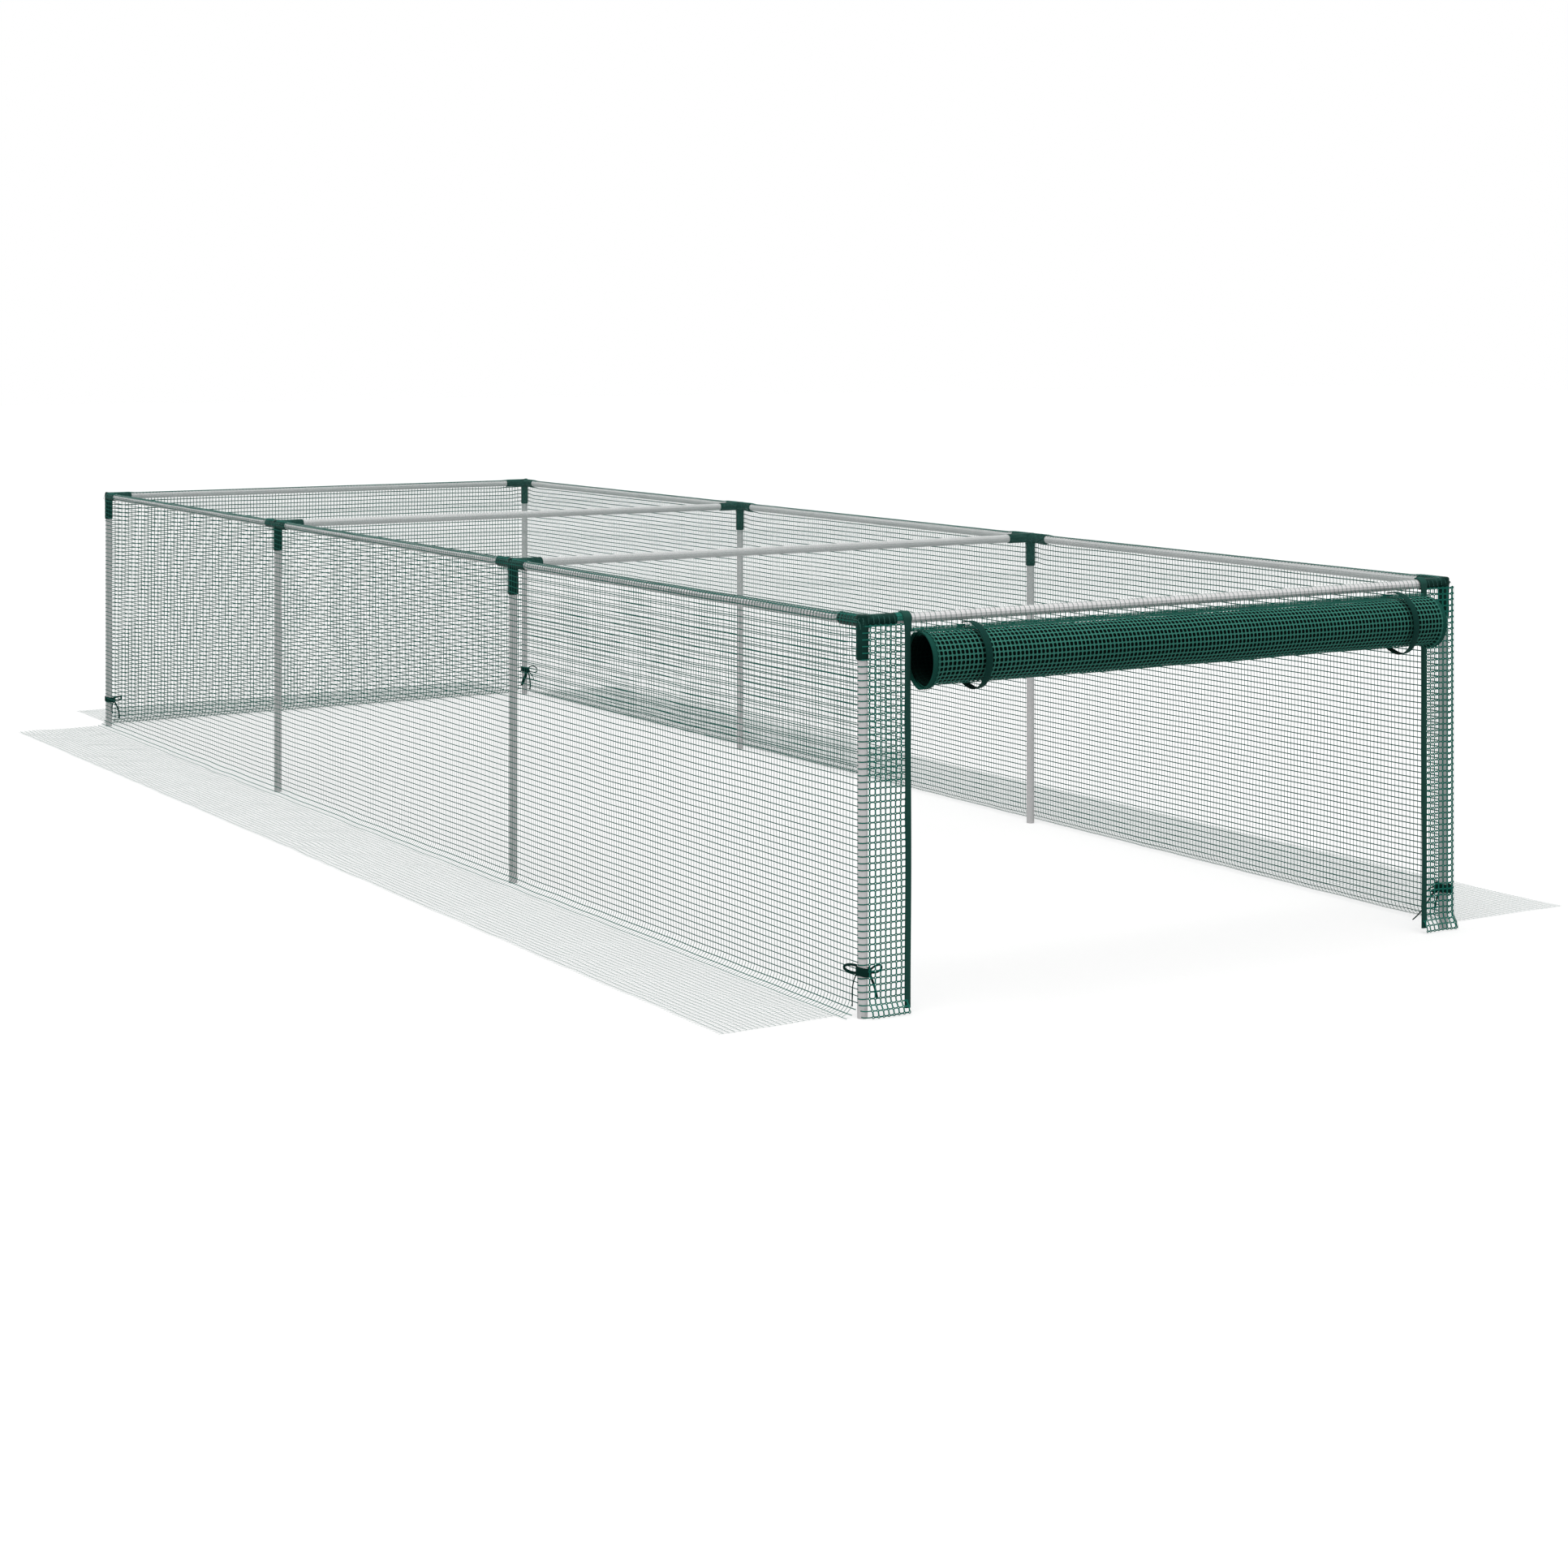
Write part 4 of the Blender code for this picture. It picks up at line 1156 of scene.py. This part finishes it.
# Painted shade colours for the inner layers of the roll.
inner_painted_shade_finish = dressed(
    "wound_net_painted_shade", wound_net_painted_shade,
    {"Painted Shade Colour": (0.0005, 0.005, 0.004), "Shaded Strand Colour": (0.003, 0.022, 0.017), "Mesh": door_mesh,
     "Roughness": 0.7}, shine=0.05, bump=0.5, reach=0.0006)


def winding(start, end, depth, thickness, across_steps, steps=48, curl=0.0, set_back=(0, 0), slip=0.0):
    """A sheet wound round the roll's axis, from start to end along it, its outer turn at a depth under the
    outer layer. curl lifts its long edges. set_back draws its inner turns in from its start and end, and
    slip pushes the start along on the side towards the cage."""
    total = int(roll_turns * steps) + 1
    rings = []
    for k in range(total):
        angle = net_leaves - 2 * math.pi * k / steps
        drawn_in = float(smooth_step((k / steps - 0.80) / 0.25))
        pushed = slip * max(math.cos(angle), 0) ** 0.7
        xs = np.linspace(start + pushed + set_back[0] * drawn_in, end - set_back[1] * drawn_in, across_steps)
        lip = curl * ((xs - (start + end) / 2) / ((end - start) / 2)) ** 2
        outside = roll_radius(xs, angle, depth + roll_gap * k / steps) + lip
        inside_first = round_roll(xs, outside - thickness, angle)[::-1]
        rings.append(np.concatenate([round_roll(xs, outside, angle), inside_first]))
    return np.concatenate(rings), ring_faces(total, 2 * across_steps)


inner_roll = piece_from(
    "door_roll_wound", [winding(roll_start - under_band, roll_end + under_band, inner_depth, 0.0012, 80)],
    inner_painted_shade_finish, body="rolled_door", smooth=True)
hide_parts("door_roll")

edge_finish = tape_finish("door_edge_tape", (0.007, 0.062, 0.048), (0.017, 0.112, 0.088), (1, 0, 0), 0.0012)
round_once = net_leaves - 2 * math.pi * np.arange(97) / 96
for side, start, end, rim, set_back, slip in (
        ("left", end_low.x, roll_start, end_low.x, (0.007, 0), 0.0065),
        ("right", roll_end, end_high.x, end_high.x, (0, 0.007), 0.0)):
    parts = [winding(start, end, -0.0006, 0.0018, 9, steps=64, curl=0.0006, set_back=set_back, slip=slip)]
    sewn_at = rim - side_signs[side] * 0.0095
    parts += stitch_row(round_roll(sewn_at, roll_radius(rim, round_once, -0.0013), round_once), 0, 0)
    band = piece_from(
        "door_edge_%s_tape" % side, parts, edge_finish, body="rolled_door", smooth=True)
    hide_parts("door_edge_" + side)


# The head of the door: the last of the door net, between the seam under the tube and the roll. The net
# that comes off the roll as the door is let down waits inside the roll.
head_out = 0.0131


def curtain_at(u, v):
    return np.stack([u, front_y - head_out + 0 * u, v], axis=-1)


head_columns = np.arange(curtain_low.x + 0.004, curtain_high.x - 0.002, door_mesh)
head_steps = np.array([curtain_low.z - 0.0012, curtain_low.z + 0.003, seam_top + 0.0004])
head = piece_from(
    "door_curtain_hung",
    net_strands(curtain_at, head_columns, curtain_low.z + np.array([0, 0.0026, 0.0052]), head_steps,
                np.linspace(curtain_low.x, curtain_high.x, 90), (0.0013, 0.0008), 0.0005),
    door_finish)
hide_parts("door_curtain")

web_rows = 52
web_near, web_far = 0.0145, 0.0200
web_height = roll_z + 0.0412
web_half = 0.0007
band_rise = 0.0035
share = np.arange(web_rows + 1) / web_rows
web_share = 0.5 - np.sin(np.arcsin(1 - 2 * share) / 3)
web_out = web_near + (web_far - web_near) * web_share
web_points, web_faces = [], []


def web_strip(x0, x1, low, high, first, second):
    """A flat strip between two rows of the waiting net; low and high lift its two long edges."""
    start = len(web_points)
    y0, y1 = front_y - web_out[first], front_y - web_out[second]
    z0, z1 = web_height + low, web_height + high
    web_points.extend([(x0, y0, z0), (x1, y0, z0), (x1, y1, z1), (x0, y1, z1)])
    web_faces.append([start, start + 1, start + 2, start + 3])


for k in range(web_rows + 1):
    web_strip(roll_start, roll_end, -web_half, web_half, k, k)
web_lengths = [(x - web_half, x + web_half, 0) for x in head_columns[2:-2]]
web_lengths += [(end_low.x + 0.001, roll_start, band_rise), (roll_end, end_high.x - 0.001, band_rise)]
for x0, x1, rise in web_lengths:
    for k in range(web_rows):
        web_strip(x0, x1, rise, rise, k, k + 1)
web = piece_from("door_net_paid_out", [(np.array(web_points), web_faces)], door_finish, body=None)
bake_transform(web)


# Door loops: two bands of dark webbing sewn to the seam at the head of the door. Each stands round the
# roll as a slack ring, over it, down the front, under it and up behind to the inner side of the seam.
loop_width = 0.0125
loop_thickness = 0.0015
loop_finish = tape_finish(
    "loop_webbing", (0.004, 0.034, 0.027), (0.010, 0.062, 0.050), (1, 0, 0), 0.0014, 0.62)
ring_angles = [60, 90, 120, 150, 180, 210, 228, 242, 256, 270, 285, 300, 318, 340, 360, 430]
ring_radii = [52.0, 52.2, 51.4, 50.4, 50.0, 50.6, 51.4, 51.6, 49.4, 46.0, 43.6, 43.4, 45.0, 47.8, 50.3, 50.5]
ring_start = math.degrees(math.acos(0.0155 / 0.0520))
ring_end = 360 + math.degrees(math.acos(0.0213 / 0.0505))
hangs_at, tilts_at = 258, 255
for side, slack in (("left", 0.0), ("right", 0.0018)):
    low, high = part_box("door_loop_" + side)
    angles = np.linspace(ring_start, ring_end, 91)
    nearby = angles[:, None] + np.linspace(-12, 12, 9)
    radius = 0.001 * np.mean(np.interp(nearby, ring_angles, ring_radii), axis=1)
    radius = radius + slack * np.maximum(np.cos(np.radians(angles - hangs_at)), 0) ** 4
    path = round_roll((low.x + high.x) / 2 + 0.0012, radius, np.radians(angles))
    tilt = math.radians(6) * np.maximum(np.cos(np.radians(angles - tilts_at)), 0) ** 2
    lie = np.stack([np.cos(tilt), 0 * tilt, np.sin(tilt)], axis=1)
    parts = [tape_along(path, lie, loop_width, loop_thickness)]
    parts += stitch_row(path[:7], 0.003, -0.0008, pitch=0.0026)
    strap = piece_from(
        "door_loop_%s_strap" % side, parts, loop_finish, body="door_carriage", smooth=True)
    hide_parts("door_loop_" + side)


# Ties: a length of dark tape wound round the foot of each corner post and knotted beside it in a loose
# bow. Every bow was tied by hand, so its loops and tails fall differently at each post.
tie_width = 0.0058
tie_thickness = 0.0014
knot_width, knot_thickness = 0.0060, 0.0020
tie_height = 0.069
tie_finish = tape_finish("tie_tape", (0.002, 0.019, 0.015), (0.007, 0.046, 0.037), (0, 0, 1), 0.0011, 0.66)


def unit(way):
    return np.array(way, float) / np.linalg.norm(way)


def bow(knot, way, lift_way, length, rise, thick):
    """A teardrop loop of tape that leaves the knot and comes back to it."""
    way, lift_way = unit(way), unit(lift_way)
    a = 2 * math.pi * np.arange(1, 24)[:, None] / 24
    reach = length / 2 * (1 - np.cos(a))
    lift = rise * np.sin(a) * (0.35 + 0.65 * np.sin(a / 2))
    return tape_along(knot + way * reach + lift_way * lift, np.cross(way, lift_way), tie_width * 0.6, thick)


def tail(start, end, sag, side_way, thick):
    """A hanging end of tape; sag is how far its middle bows away from the straight line."""
    share = np.linspace(0, 1, 13)[:, None]
    points = np.array(start) * (1 - share) + np.array(end) * share + np.array(sag) * np.sin(math.pi * share)
    return tape_along(points, side_way, np.linspace(1, 0.7, 13) * max(tie_width * 0.5, thick), thick)


bows = {
    "front_left": (
        (0.0100, -0.0030, -0.001), 0.0130,
        [((-0.80, 0.60, 0.17), (0.1, 0, 1), 0.038, 0.0068), ((1, 0, 0.20), (-0.1, 0, 1), 0.0225, 0.0060)],
        [((0.0105, -0.0030, -0.004), (0.0235, -0.0045, -0.042), (0.0015, 0, 0), (0.5, -0.8, 0)),
         ((-0.0085, 0.0035, -0.004), (-0.0145, 0.0050, -0.051), (-0.0030, 0, 0.006), (0.3, 0.9, 0))]),
    "front_right": (
        (-0.0125, -0.0040, 0.0), 0.0135,
        [((-0.4, 0.85, -0.2), (0, 0, 1), 0.020, 0.0045), ((-0.8, 0.5, -0.45), (0, 0, 1), 0.018, 0.0045)],
        [((-0.0130, 0.0060, -0.004), (-0.0560, 0.0160, -0.0520), (-0.004, 0, -0.008), (0, 1, 0)),
         ((-0.0120, -0.0030, -0.004), (-0.0150, 0.0060, -0.0420), (-0.002, 0, 0), (0.5, -0.8, 0))]),
    "back_left": (
        (0.0110, -0.0040, 0.0), 0.0120,
        [((1, -0.2, 0.1), (0, 0, 1), 0.020, 0.0055), ((-0.3, -0.9, -0.3), (0, 0, 1), 0.018, 0.0045)],
        [((0.0120, -0.0040, -0.004), (0.0260, -0.0060, -0.050), (0.004, 0, 0), (0.5, -0.8, 0)),
         ((0.0110, -0.0040, -0.004), (0.0060, -0.0110, -0.036), (-0.002, 0, 0), (0.5, -0.8, 0))]),
    "back_right": (
        (0.0040, -0.0110, 0.0), 0.0120,
        [((-0.42, -0.05, -0.90), (-0.9, 0, 0.42), 0.046, 0.0028),
         ((0.85, -0.3, 0.05), (-0.45, 0, 0.9), 0.026, 0.0120)],
        [((0.0050, -0.0110, -0.004), (0.0100, -0.0130, -0.056), (0.003, 0, 0), (0.5, -0.8, 0)),
         ((0.0060, -0.0110, -0.004), (0.0220, -0.0120, -0.030), (0.004, 0, 0), (0.5, -0.8, 0))]),
}
around = 2 * math.pi * np.arange(36) / 36
along = np.linspace(0, 1, 9)[:, None]
for place, (knot, band_high, loops, tails) in bows.items():
    side, row = place.split("_")[1], 1 if place.startswith("front") else 4
    loosely_tied = place == "front_right"
    girth = 0.0138 if loosely_tied else 0.0094
    bow_thick = (0.0022, 0.0018) if loosely_tied else (0.0040, 0.0026)
    tail_thick = (0.0018, 0.0014) if loosely_tied else (0.0038, 0.0016)
    band = np.stack([girth * np.cos(around), girth * np.sin(around), 0.0022 * np.sin(around - 1.2)], axis=1)
    parts = [tape_along(band, (0, 0, 1), band_high, tie_thickness, closed=True)]
    knot = np.array(knot)
    parts += [bow(knot, *shape, thick) for shape, thick in zip(loops, bow_thick)]
    parts += [tail(*ends, thick) for ends, thick in zip(tails, tail_thick)]
    outward = unit((knot[0], knot[1], 0))
    level = 0.0062 * np.cross(outward, (0, 0, 1))
    crown = knot + outward * 0.0055
    for tip in (0.0042, -0.0042):
        a, b = knot + level + (0, 0, tip), knot - level - (0, 0, tip)
        line = a * (1 - along) ** 2 + 2 * crown * along * (1 - along) + b * along ** 2
        parts.append(tape_along(line, (0, 0, 1), knot_width, knot_thickness))
    tie = piece_from("tied_tie_%s" % place, parts, tie_finish, body=None, smooth=True)
    tie.location = (*post_axis[side, row], tie_height)
    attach(tie, "cage")
    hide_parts("tie_" + place)
